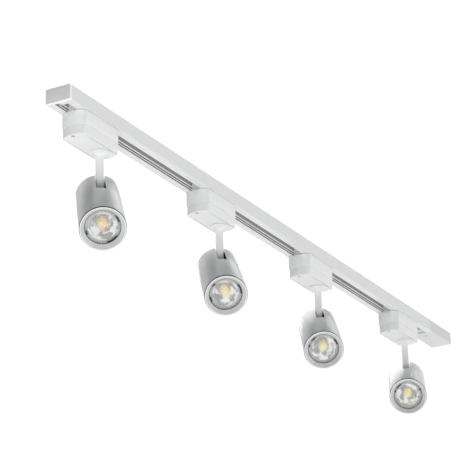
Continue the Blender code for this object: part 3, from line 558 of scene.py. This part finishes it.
for spot in SPOTS:
    low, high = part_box(f"spot{spot}_adapter_cover")
    middle = (low.x + high.x) / 2
    seam = housing_seam - SEAM
    build = bowed_block(low.z, seam, COVER_STEP)
    soften(build, rim_edges(build, low.z), COVER_EDGE, 5)
    screw_low, screw_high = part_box(f"spot{spot}_cover_screw")
    screw_place = (screw_low.x + screw_high.x) / 2 - middle
    swivel_place = joints[f"arm_{spot}_pan"]["pos_m"][0] - middle
    hollow = bowed_block(low.z + ADAPTER_WALL, seam + MM, ADAPTER_WALL + COVER_STEP)
    holes = []
    drills = ((swivel_place, SPIGOT_HOLE, ADAPTER_WALL + MM), (screw_place, SCREW_SINK, SINK_DEPTH))
    for place, radius, depth in drills:
        start, end = low.z - MM, low.z + depth
        drill = turned([(0, start), (radius, start), (radius, end), (0, end)], 40)
        bmesh.ops.translate(drill, verts=drill.verts, vec=(place, 0, 0))
        holes.append(finished(drill, "drill", white_plastic))
    cover = finished(build, f"spot{spot}_adapter_lower", white_plastic)
    cover = carved(cover, [finished(hollow, "hollow", white_plastic), *holes])
    cover.data.transform(Matrix.Translation((middle, 0, 0)))
    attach(cover, f"adapter_{spot}")
    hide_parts(f"spot{spot}_adapter_cover")


# ---- Inside the adapters -----------------------------------------------------------------------
# The driver board lies on the cover's ribs. The black lock turret turns in the housing's roof by
# its lever, grips the track's lips with two lugs, and holds a copper blade against each strip.

made, wire, principled = shader("circuit_board", Specular_IOR_Level=0.5)
weave = wire.noise(1200.0, 2.0)
track_mask = wire.noise(260.0, 0.0).maths("GREATER_THAN", wire.noise(170.0, 0.0), 0.5)
connect(
    principled,
    Base_Color=wire.blend(0.5 * weave + 0.5 * track_mask, (0.012, 0.10, 0.045), (0.03, 0.19, 0.08)),
    Roughness=0.35 + 0.15 * weave,
    Normal=wire.bump(track_mask, 0.00004, 0.6),
)
circuit_board = made
for spot in SPOTS:
    dress(f"spot{spot}_driver_board", circuit_board)
    dress(f"spot{spot}_lock_turret", black_plastic)
    dress(f"spot{spot}_contact_front", tinned_copper)
    dress(f"spot{spot}_contact_rear", tinned_copper)


# ---- Swivel arms -------------------------------------------------------------------------------
# Die-cast arms, powder coated like the track but in a lighter copy of its white, as painted light.
# A trumpet flare bears on the adapter, its spigot turns in the cover, and the slim rounded bar ends
# in an eye that carries the head's tilt pin.

ARM_WIDTH = 9.5 * MM
ARM_DEPTH = 7.8 * MM
ARM_EDGE = 1.2 * MM
FLARE_RADIUS = 12.5 * MM
FLARE_HEIGHT = 11.0 * MM
FLARE_RIM = 0.8 * MM
FLARE_EDGE = 0.3 * MM
ARM_FACETS = 64
SPIGOT_RADIUS = 5.7 * MM
SPIGOT_FLANGE = 7.5 * MM
FLANGE_FOOT = 2.1 * MM
FLANGE_TOP = 3.3 * MM
EYE_RADIUS = 4.7 * MM
EYE_EDGE = 0.4 * MM
EYE_SIDE = 4.4 * MM


def arm_section(angle, blend, radius):
    """A point of the arm's outline, which runs from a circle at blend 0 to its bar at blend 1."""
    c, s = math.cos(angle), math.sin(angle)
    flat = [ARM_DEPTH / 2 - ARM_EDGE, ARM_WIDTH / 2 - ARM_EDGE]
    lean = 8.0  # how squarely the bar's sides meet
    bar = (
        flat[0] * max(-1, min(1, lean * c)) + ARM_EDGE * c,
        flat[1] * max(-1, min(1, lean * s)) + ARM_EDGE * s,
    )
    return [(1 - blend) * radius * a + blend * b for a, b in zip((c, s), bar)]


def arm_frame(spot):
    """The place of an arm's top on its swivel axis, with local X towards the side it leans to."""
    pan = joints[f"arm_{spot}_pan"]
    tilt_axis = joints[f"head_{spot}_tilt"]["axis"]
    turn = math.atan2(-tilt_axis[0], tilt_axis[1])
    return Matrix.Translation(pan["pos_m"]) @ Matrix.Rotation(math.pi + turn, 4, "Z")


def swivel_arm(length):
    top = -SEAM
    neck = (ARM_WIDTH + ARM_DEPTH) / 4
    rings = [(top, 0.0, FLARE_RADIUS - FLARE_EDGE), (top - FLARE_EDGE, 0.0, FLARE_RADIUS)]
    for i in range(17):
        angle = math.radians(90 * i / 16)
        share = math.sin(angle)
        drop = FLARE_RIM + (FLARE_HEIGHT - FLARE_RIM) * (1 - math.cos(angle))
        rings.append((top - drop, share**2, FLARE_RADIUS - (FLARE_RADIUS - neck) * share))
    rings.append((2 * MM - length, 1.0, neck))
    rings.append((-length, 1.0, neck))
    build = bmesh.new()
    around = build.verts.layers.float.new("around")
    circle = bmesh.ops.create_circle(build, cap_ends=False, radius=FLARE_RADIUS, segments=ARM_FACETS)
    ring = circle["verts"]
    for vert in ring:
        vert[around] = math.atan2(vert.co.y, vert.co.x)
    edges = build.edges[:]
    for number, (height, blend, radius) in enumerate(rings):
        if number:
            grown = bmesh.ops.extrude_edge_only(build, edges=edges)["geom"]
            edges = [item for item in grown if isinstance(item, bmesh.types.BMEdge)]
            ring = [item for item in grown if isinstance(item, bmesh.types.BMVert)]
        for vert in ring:
            vert.co = (*arm_section(vert[around], blend, radius), height)
    bmesh.ops.holes_fill(build, edges=build.edges[:])
    return build


across_head = Matrix.Rotation(math.pi / 2, 3, "X")
# Painted light: the arms and the bezel faces take a lighter copy of the track's white.
lit_white_coat = powder_coat("arm_coat_painted_light", (0.91, 0.92, 0.91), (0.88, 0.89, 0.88))

for spot in SPOTS:
    place = arm_frame(spot)
    pivot = Vector(joints[f"head_{spot}_tilt"]["pos_m"])
    length = place.translation.z - pivot.z
    build = swivel_arm(length)
    profile = [(0, -MM), (SPIGOT_RADIUS, -MM), (SPIGOT_RADIUS, FLANGE_FOOT)]
    profile += [(SPIGOT_FLANGE, FLANGE_FOOT), (SPIGOT_FLANGE, FLANGE_TOP), (0, FLANGE_TOP)]
    spigot = turned(profile, 40)
    eye = [(0, -ARM_WIDTH / 2), (EYE_RADIUS - EYE_EDGE, -ARM_WIDTH / 2), (EYE_RADIUS, -EYE_SIDE)]
    eye = turned(eye + [(radius, -height) for radius, height in reversed(eye)], 40)
    bmesh.ops.rotate(eye, verts=eye.verts, cent=(0, 0, 0), matrix=across_head)
    bmesh.ops.translate(eye, verts=eye.verts, vec=(0, 0, -length))
    arm = finished(merged(merged(build, spigot), eye), f"spot{spot}_cast_arm", lit_white_coat, place)
    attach(arm, f"arm_{spot}")
    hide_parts(f"spot{spot}_swivel_arm")


# ---- Heads -------------------------------------------------------------------------------------
# A turned aluminium tube with a plate across it for the lamp. Its outside is powder coated in a darker
# copy of the track's white, as painted shade, and its inside is painted near black, as painted shade.
# A slot in its upper side, open through the rear, clears the arm as the head tilts.

HEAD_RADIUS = 27.0 * MM
HEAD_REAR = 28.0 * MM
HEAD_FRONT = -66.1 * MM
HEAD_WALL = 2.0 * MM
HEAD_STEPS = 96
HEAD_EDGE = 0.9 * MM
PLATE_REAR = -33.0 * MM
PLATE_FRONT = -38.0 * MM
PIN_RADIUS = 2.0 * MM
SLOT_WIDTH = 11.6 * MM
SLOT_LENGTH = 39.0 * MM

# Painted shade: the inside of each head is painted near black for the shade inside the tube.
made, wire, principled = shader("painted_bore_shade", Specular_IOR_Level=0.3)
bore_mottle = wire.noise(200.0, 3.0)
connect(
    principled,
    Base_Color=wire.blend(bore_mottle, (0.035, 0.035, 0.036), (0.055, 0.055, 0.056)),
    Roughness=0.55 + 0.2 * bore_mottle,
)
painted_bore_shade = made
# Painted shade: the heads and the bezel funnels take a darker copy of the track's white.
shaded_white_coat = powder_coat("head_coat_painted_shade", (0.705, 0.72, 0.71), (0.665, 0.68, 0.67), 1.0)


def head_frame(spot):
    """The place of a head's tilt pin, with local -Z out of its front and local Y along the pin."""
    tilt = joints[f"head_{spot}_tilt"]
    axis = Vector(tilt["axis"])
    turn = math.atan2(-axis.x, axis.y)
    lean = math.radians(-tilt["range_deg"][0])
    spun = Matrix.Rotation(math.pi + turn, 4, "Z") @ Matrix.Rotation(-lean, 4, "Y")
    return Matrix.Translation(tilt["pos_m"]) @ spun


def shade_bore(piece, radius, rear, front):
    """Gives the faces inside a bore the near-black painted shade, in the piece's own frame."""
    piece.data.materials.append(painted_bore_shade)
    for face in piece.data.polygons:
        x, y, z = face.center
        if math.hypot(x, y) < radius and front < z < rear:
            face.material_index = 1


for spot in SPOTS:
    rear, front, wall = HEAD_REAR, HEAD_FRONT, HEAD_RADIUS
    corner = fillet((wall, rear), (0, rear), (wall, front), HEAD_EDGE)
    lip = fillet((wall, front), (wall, rear), (0, front), 0.3 * MM, 2)
    build = turned([(0, rear), *corner, *lip, (0, front)], HEAD_STEPS)
    bore = wall - HEAD_WALL
    cutters = []
    for high_end, low_end in ((rear - HEAD_WALL, PLATE_REAR), (PLATE_FRONT, front - 5 * MM)):
        hollow = turned([(0, high_end), (bore, high_end), (bore, low_end), (0, low_end)], HEAD_STEPS)
        cutters.append(finished(hollow, "hollow", shaded_white_coat))
    far = rear - SLOT_LENGTH
    half = SLOT_WIDTH / 2
    slot = block((bore / 2, -half, far), (2 * wall, half, 2 * rear))
    cutters.append(finished(slot, "slot", shaded_white_coat))
    opening = block((-ARM_DEPTH, -half, rear - 2 * HEAD_WALL), (wall, half, 2 * rear))
    cutters.append(finished(opening, "opening", shaded_white_coat))
    shell = carved(finished(build, f"spot{spot}_head_tube", shaded_white_coat), cutters)
    shade_bore(shell, bore + 0.2 * MM, rear - HEAD_WALL + MM / 10, front + 2 * MM)
    shell.data.transform(head_frame(spot))
    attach(shell, f"head_{spot}")
    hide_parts(f"spot{spot}_head_shell")

    pin_end = -HEAD_RADIUS + 0.6 * MM
    end = fillet((PIN_RADIUS, pin_end), (0, pin_end), (PIN_RADIUS, 0), 0.4 * MM, 3)
    other = [(radius, -height) for radius, height in reversed(end)]
    pin = turned([(0, pin_end), *end, *other, (0, -pin_end)], 32)
    bmesh.ops.rotate(pin, verts=pin.verts, cent=(0, 0, 0), matrix=across_head)
    pin = finished(pin, f"spot{spot}_tilt_rivet", zinc_plate, head_frame(spot))
    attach(pin, f"head_{spot}")
    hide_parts(f"spot{spot}_tilt_pin")


# ---- Bezels ------------------------------------------------------------------------------------
# A turned ring screwed into each head's front. Its face is a narrow flat in the arms' lighter white, as
# painted light, and a funnel in the heads' darker white, as painted shade, runs down from it to the
# lens.
# Thin black rings stand in for the shadow lines round its outside and round the lens: painted shade.

BEZEL_RADIUS = 27.3 * MM
BEZEL_BACK = -66.4 * MM
BEZEL_FRONT = -68.0 * MM
BEZEL_RING = 26.7 * MM
BEZEL_FACE = 25.7 * MM
BEZEL_SPIGOT = 24.7 * MM
BEZEL_BORE = 23.4 * MM
BEZEL_MOUTH = 21.1 * MM
LENS_SIDE = -62.5 * MM
SPIGOT_END = -60.4 * MM
OUTER_EDGE = 0.2 * MM
INNER_EDGE = 0.15 * MM

for spot in SPOTS:
    rim, face_edge = (BEZEL_RING, BEZEL_FRONT), (BEZEL_FACE, BEZEL_FRONT)
    outside = fillet(rim, (BEZEL_RING, BEZEL_BACK), face_edge, OUTER_EDGE)
    inside = fillet(face_edge, rim, (BEZEL_MOUTH, LENS_SIDE), INNER_EDGE)
    profile = [(BEZEL_SPIGOT, SPIGOT_END), (BEZEL_SPIGOT, BEZEL_BACK), (BEZEL_RING, BEZEL_BACK)]
    profile += [*outside, *inside, (BEZEL_MOUTH, LENS_SIDE - 0.3 * MM), (BEZEL_MOUTH, LENS_SIDE)]
    profile += [(BEZEL_BORE, LENS_SIDE), (BEZEL_BORE, SPIGOT_END)]
    bezel = finished(turned(profile, HEAD_STEPS, closed=True), f"spot{spot}_bezel_ring", lit_white_coat)
    # the funnel takes the heads' darker copy: painted shade
    bezel.data.materials.append(shaded_white_coat)
    for face in bezel.data.polygons:
        if math.hypot(*face.center.xy) < BEZEL_FACE - 0.2 * MM:
            face.material_index = 1
    bezel.data.transform(head_frame(spot))
    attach(bezel, f"head_{spot}")
    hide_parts(f"spot{spot}_front_bezel")
    # Painted shade: thin black rings stand in for the shadow lines round the bezel's outside and round
    # the lens.
    inner, outer, tip = BEZEL_RING - MM / 10, BEZEL_RING + MM / 10, BEZEL_FRONT + MM / 10
    outer_shadow_ring = [(inner, BEZEL_BACK), (BEZEL_RADIUS, BEZEL_BACK), (BEZEL_RADIUS, BEZEL_BACK - OUTER_EDGE)]
    outer_shadow_ring += [(outer, tip), (inner, tip)]
    inner, outer, rear = BEZEL_MOUTH - 0.45 * MM, BEZEL_MOUTH - 0.05 * MM, LENS_SIDE + 0.2 * MM
    lens_shadow_ring = [(inner, rear), (outer, rear), (outer, rear - 0.6 * MM), (inner, rear - 0.3 * MM)]
    for name, section in (("outer_shadow_ring", outer_shadow_ring), ("lens_shadow_ring", lens_shadow_ring)):
        ring = turned(section, HEAD_STEPS, closed=True)
        ring = finished(ring, f"spot{spot}_bezel_{name}", black_plastic, head_frame(spot))
        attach(ring, f"head_{spot}")


# ---- Lamps -------------------------------------------------------------------------------------
# A white metal-core board with a round yellow phosphor spot inside its raised white dam. It lies
# on the head's plate, right behind the lens.

made, wire, principled = shader("solder_mask_white", Specular_IOR_Level=0.5)
print_grain = wire.noise(1500.0, 2.0)
connect(
    principled,
    Base_Color=wire.blend(print_grain, (0.80, 0.80, 0.78), (0.72, 0.72, 0.70)),
    Roughness=0.30 + 0.15 * print_grain,
)
board_white = made
# The phosphor's faint glow is painted light: the lamp is off.
made, wire, principled = shader("phosphor", Emission_Strength=0.05)
silt = wire.noise(1800.0, 3.0)
phosphor_tone = wire.blend(silt, (0.98, 0.60, 0.10), (0.90, 0.42, 0.05))
connect(
    principled,
    Base_Color=phosphor_tone,
    Emission_Color=phosphor_tone,
    Roughness=0.32 + 0.2 * silt,
    Normal=wire.bump(silt, 0.00005, 0.5),
)
phosphor = made

BOARD_BACK = -38.3 * MM
BOARD_HALF = 10.0 * MM
BOARD_THICK = 1.2 * MM
BOARD_CORNER = 1.2 * MM
PHOSPHOR_RADIUS = 4.6 * MM
DAM_RADIUS = 5.5 * MM
DAM_HEIGHT = 0.7 * MM

for spot in SPOTS:
    board_front = BOARD_BACK - BOARD_THICK
    build = block((-BOARD_HALF, -BOARD_HALF, board_front), (BOARD_HALF, BOARD_HALF, BOARD_BACK))
    corners = [edge for edge in build.edges if abs(edge.verts[0].co.z - edge.verts[1].co.z) > MM / 2]
    soften(build, corners, BOARD_CORNER, 4)
    peak = board_front - DAM_HEIGHT
    dam = [(PHOSPHOR_RADIUS, board_front), (PHOSPHOR_RADIUS, peak + 0.15 * MM)]
    crest, outer_foot = (DAM_RADIUS - 0.4 * MM, peak), (DAM_RADIUS, board_front)
    dam += fillet(crest, (PHOSPHOR_RADIUS, peak), outer_foot, 0.3 * MM)
    build = merged(build, turned(dam + [outer_foot], 48, closed=True))
    board = finished(build, f"spot{spot}_lamp_board", board_white, head_frame(spot))
    fill = [(0, peak + 0.15 * MM), (PHOSPHOR_RADIUS - 0.05 * MM, peak + 0.25 * MM)]
    fill += [(PHOSPHOR_RADIUS - 0.05 * MM, board_front), (0, board_front)]
    glow = finished(turned(fill, 48), f"spot{spot}_lamp_phosphor", phosphor, head_frame(spot))
    for piece in (board, glow):
        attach(piece, f"head_{spot}")
    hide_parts(f"spot{spot}_led_module")


# ---- Lenses ------------------------------------------------------------------------------------
# A moulded acrylic collimator, with fine teeth round its clear rim whose light and dark are painted on,
# as painted light and shade. Its flared wall carries glowing painted reflections, and its domed middle
# shows the lamp as a glowing orange to yellow drop, a painted image of the lamp. Black arcs at its
# edge are painted shade.

LENS_FRONT = -62.2 * MM
LENS_BACK = -60.3 * MM
LENS_RIM = 22.9 * MM
TEETH_INNER = 18.6 * MM
TEETH_OUTER = 20.4 * MM
TEETH = 72
TOOTH_DEPTH = 0.5 * MM
RECESS_INNER = 11.6 * MM
RECESS_OUTER = 16.0 * MM
RECESS_DEPTH = 0.4 * MM
FLANGE_GAP = 0.4 * MM
FLANGE_RIM = 22.8 * MM
FLANGE_THICK = 0.8 * MM
SHADE_ARC_INNER = 18.7 * MM
SHADE_ARC_OUTER = 20.3 * MM
WALL_TOP = 16.6 * MM
WALL_FOOT = 8.0 * MM
WALL_DEEP = -43.2 * MM
WALL_STEPS = 36
DROP_RADIUS = 5.6 * MM
DROP_BACK = -44.0 * MM
DROP_FRONT = -58.5 * MM
DOME_RADIUS = 9.4 * MM
DOME_FOOT = -52.0 * MM

made, wire, principled = shader("clear_acrylic", Alpha=0.11, Coat_Weight=1.0, Coat_Roughness=0.04)
haze = wire.noise(300.0, 2.0)
connect(
    principled,
    Base_Color=wire.blend(haze, (0.95, 0.955, 0.96), (0.86, 0.87, 0.88)),
    Roughness=0.12 + 0.1 * haze,
)
clear_acrylic = made

# Painted reflections: bright glints and dark patches on the wall are painted in its colour and made to
# glow.
made, wire, principled = shader("lens_wall_painted_glints", Metallic=0.25, Emission_Strength=0.62, Coat_Weight=1.0)
ripple = wire.noise(120.0, 2.0, 0.45)
fine = wire.noise(900.0, 2.0, 0.6)
climb = wire.node("ShaderNodeAttribute", {"attribute_name": "climb"}, {}, "Fac")
rings = 0.5 + 0.5 * wire.maths("SINE", 44.0 * climb)
glint_patches = 7.0 * ripple + 0.22 * rings + 0.5 * fine - 3.4
glint_mask = wire.node("ShaderNodeClamp", {}, {"Value": glint_patches})
glint_glow = wire.blend(glint_mask, (0.97, 1.0, 1.0), (0.26, 0.28, 0.29))
connect(
    principled,
    Base_Color=wire.blend(glint_mask, (0.30, 0.33, 0.37), (0.10, 0.12, 0.15)),
    Emission_Color=glint_glow,
    Roughness=0.06 + 0.16 * fine,
    Normal=wire.bump(ripple, 0.0009, 0.6),
)
lens_wall_painted_glints = made

# Painted light and shade: the teeth are painted alternately light and near black, with a faint glow.
made, wire, principled = shader(
    "toothed_rim_painted_light", Emission_Strength=0.04, Coat_Weight=0.5, Coat_Roughness=0.05
)
tooth = wire.node("ShaderNodeAttribute", {"attribute_name": "tooth"}, {}, "Fac")
patchy = wire.noise(90.0, 2.0)
painted_tooth_light = wire.blend(tooth + 0.6 * patchy - 0.4, (0.66, 0.67, 0.68), (0.03, 0.03, 0.031))
connect(principled, Base_Color=painted_tooth_light, Emission_Color=painted_tooth_light, Roughness=0.2 + 0.2 * patchy)
toothed_rim_painted_light = made

# Painted light: the drop is a glowing painted image of the lamp, orange deep in and yellow near the
# front.
made, wire, principled = shader(
    "lens_painted_lamp_image", Emission_Strength=0.26, Coat_Weight=1.0, Coat_Roughness=0.03
)
swirl = wire.noise(260.0, 3.0, 0.6)
depth = wire.node("ShaderNodeAttribute", {"attribute_name": "depth"}, {}, "Fac")
painted_lamp_glow = wire.blend(0.6 * depth + 0.35 * swirl - 0.1, (0.78, 0.34, 0.05), (0.98, 0.82, 0.26))
connect(principled, Base_Color=painted_lamp_glow, Emission_Color=painted_lamp_glow, Roughness=0.12 + 0.2 * swirl)
lens_painted_lamp_image = made

# Painted shade: black arcs are put on each lens rim where dark shade lies; the table gives each arc's
# middle angle and half width, in degrees.
SHADE_ARCS = {  # the middle angle and the half width of each clip, in degrees
    1: ((32, 11), (204, 7), (308, 19)),
    2: ((23, 20), (143, 5), (204, 10)),
    3: ((30, 12), (134, 10), (168, 4)),
    4: ((24, 5), (132, 12), (160, 4)),
}

for spot in SPOTS:
    place = head_frame(spot)
    recess = LENS_FRONT + RECESS_DEPTH
    profile = [(0, LENS_FRONT), (RECESS_INNER, LENS_FRONT), (RECESS_INNER + RECESS_DEPTH, recess)]
    profile += [(RECESS_OUTER - RECESS_DEPTH, recess), (RECESS_OUTER, LENS_FRONT)]
    profile += [(TEETH_INNER, LENS_FRONT)]
    profile += [(TEETH_INNER + 0.2 * MM, LENS_FRONT), (TEETH_OUTER, LENS_FRONT)]
    profile += [(LENS_RIM, LENS_FRONT + 0.1 * MM), (LENS_RIM, LENS_BACK), (0, LENS_BACK)]
    build = turned(profile, 2 * TEETH)
    for vert in build.verts:
        radius = math.hypot(vert.co.x, vert.co.y)
        step = round(math.atan2(vert.co.y, vert.co.x) / math.pi * TEETH)
        toothed = TEETH_INNER + 0.1 * MM < radius < TEETH_OUTER + 0.1 * MM
        if toothed and vert.co.z < LENS_BACK - MM and step % 2:
            vert.co.z += TOOTH_DEPTH
    face = finished(build, f"spot{spot}_lens_face", clear_acrylic, place, sharp=20.0)

    inside, outside = [], []
    for i in range(8):
        share = i / 7
        radius = WALL_FOOT + (WALL_TOP - WALL_FOOT) * math.sqrt(share)
        height = WALL_DEEP + (LENS_BACK + 0.2 * MM - WALL_DEEP) * share
        inside.append((radius, height))
        outside.append((radius + 0.35 * MM, height))
    build = turned(inside + outside[::-1], WALL_STEPS, closed=True)
    climb_layer = build.verts.layers.float.new("climb")
    for vert in build.verts:
        vert[climb_layer] = (vert.co.z - WALL_DEEP) / (LENS_BACK - WALL_DEEP)
    wall = finished(build, f"spot{spot}_lens_wall", lens_wall_painted_glints, place, sharp=6.0)
    inner, near = WALL_TOP + FLANGE_GAP, LENS_BACK + MM / 10
    far = near + FLANGE_THICK
    rim = [(inner, near), (FLANGE_RIM, near), (FLANGE_RIM, far), (inner, far)]
    build = turned(rim, 2 * TEETH, closed=True)
    tooth_layer = build.verts.layers.float.new("tooth")
    for vert in build.verts:
        step = round(math.atan2(vert.co.y, vert.co.x) / math.pi * TEETH)
        vert[tooth_layer] = step % 2
    flange = finished(build, f"spot{spot}_lens_flange", toothed_rim_painted_light, place)

    drop = [(0, DROP_BACK), (DROP_RADIUS, DROP_BACK)]
    for i in range(1, 8):
        angle = math.radians(90 * i / 7)
        crown = DROP_FRONT + DROP_RADIUS
        drop.append((DROP_RADIUS * math.cos(angle), crown - DROP_RADIUS * math.sin(angle)))
    drop[-1] = (0, DROP_FRONT)
    build = turned(drop, 40)
    nearness = build.verts.layers.float.new("depth")
    for vert in build.verts:
        # the tone turns more yellow from spot to spot: painted light
        vert[nearness] = (DROP_BACK - vert.co.z) / (DROP_BACK - DROP_FRONT) + 0.35 * (spot - 1)
    middle = finished(build, f"spot{spot}_lens_painted_lamp_image", lens_painted_lamp_image, place)

    shell, lining = [], []
    for i in range(8):
        angle = math.radians(90 * i / 7)
        across, up = DOME_RADIUS * math.cos(angle), DOME_RADIUS * math.sin(angle)
        shell.append((across, DOME_FOOT - 0.85 * up))
        lining.append((0.93 * across, DOME_FOOT - 0.78 * up))
    shell[-1], lining[-1] = (0, shell[-1][1]), (0, lining[-1][1])
    build = turned(shell + lining[::-1], 48, closed=True)
    dome = finished(build, f"spot{spot}_lens_dome", clear_acrylic, place)

    for piece in (face, wall, flange, middle, dome):
        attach(piece, f"head_{spot}")
    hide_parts(f"spot{spot}_lens")

    # black arcs of painted shade
    for number, (middle_angle, half) in enumerate(SHADE_ARCS[spot]):
        start = 90 - middle_angle - half
        front, rear = LENS_FRONT - 0.45 * MM, LENS_FRONT - 0.05 * MM
        build = ring_way(front, rear, SHADE_ARC_INNER, SHADE_ARC_OUTER, start, start + 2 * half)
        shade_arc = finished(build, f"spot{spot}_lens_shade_arc_{number + 1}", black_plastic, place)
        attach(shade_arc, f"head_{spot}")


# ---- Studio ------------------------------------------------------------------------------------
# A pale floor far below, a white room that is dim overhead and brightest behind the fixture, two
# large soft lights, and a camera that looks up along the track from beyond its closed end.

FLOOR_HALF = 20.0
FLOOR_LEVEL = -7.0
floor_build = bmesh.new()
bmesh.ops.create_grid(floor_build, x_segments=1, y_segments=1, size=FLOOR_HALF)
bmesh.ops.translate(floor_build, verts=floor_build.verts, vec=(0, 0, FLOOR_LEVEL))
made, wire, principled = shader("pale_floor", Emission_Strength=0.62)
paint = wire.noise(1.5, 2.0)
pale = wire.blend(paint, (0.90, 0.90, 0.90), (0.87, 0.87, 0.87))
connect(principled, Base_Color=pale, Emission_Color=pale, Roughness=0.7 + 0.1 * paint)
floor = finished(floor_build, "studio_floor", made)

world = bpy.data.worlds.new("white_room")
bpy.context.scene.world = world
world.use_nodes = True
room = Wire(world.node_tree)
direction = room.node("ShaderNodeTexCoord", {}, {}, "Generated")
dot = {"operation": "DOT_PRODUCT"}
BRIGHT_WAY = (0.60, 0.10, -0.80)
DIM_WAY = (-0.52, 0.85, 0.0)
towards = room.node("ShaderNodeVectorMath", dot, {0: direction, 1: BRIGHT_WAY}, "Value")
aside = room.node("ShaderNodeVectorMath", dot, {0: direction, 1: DIM_WAY}, "Value")
glow = {
    "stops": (
        (0.16, (0.16, 0.165, 0.17)),
        (0.25, (0.22, 0.225, 0.23)),
        (0.29, (0.50, 0.50, 0.50)),
        (0.34, (1.40, 1.40, 1.40)),
        (0.43, (1.45, 1.45, 1.45)),
        (0.53, (0.82, 0.82, 0.82)),
        (0.70, (0.97, 0.97, 0.97)),
    )
}
shade = room.node("ShaderNodeValToRGB", glow, {"Fac": 0.5 + 0.5 * towards}, "Color")
seen = room.node("ShaderNodeLightPath", {}, {}, "Is Camera Ray")
white = (1.05, 1.05, 1.05, 1.0)
backdrop = room.node("ShaderNodeMix", {"data_type": "RGBA"}, {"Factor": seen, 6: shade, 7: white}, 2)
veil = {"stops": ((0.55, (1.0, 1.0, 1.0)), (0.85, (0.40, 0.40, 0.40)))}
background = world.node_tree.nodes["Background"]
strength = room.node("ShaderNodeValToRGB", veil, {"Fac": 0.5 + 0.5 * aside}, "Color")
strength = strength.maths("MAXIMUM", strength, seen)
world.node_tree.links.new(strength.socket, background.inputs["Strength"])
world.node_tree.links.new(backdrop.socket, background.inputs["Color"])

for name, spot_at, aim, energy, size in (
    ("left_softbox", (-2.5, -0.5, -1.1), (-0.4, 0, -0.1), 14.5, 1.2),
    ("rear_softbox", (1.6, 0.9, 1.3), (0.2, 0, -0.12), 10.0, 1.6),
):
    lamp = bpy.data.lights.new(name, "AREA")
    lamp.energy = energy
    lamp.size = size
    light = bpy.data.objects.new(name, lamp)
    bpy.context.scene.collection.objects.link(light)
    light.location = spot_at
    light.rotation_euler = (Vector(aim) - Vector(spot_at)).to_track_quat("-Z", "Y").to_euler()

camera = bpy.data.cameras.new("camera")
camera.lens = 153.64
camera.sensor_width = 36.0
camera.shift_y = 0.002
view = bpy.data.objects.new("camera", camera)
bpy.context.scene.collection.objects.link(view)
view.location = (-2.2106, -1.1643, -0.9850)
view.rotation_euler = [math.radians(angle) for angle in (111.245, 1.393, -60.578)]
bpy.context.scene.camera = view
bpy.context.scene.view_settings.view_transform = "Standard"
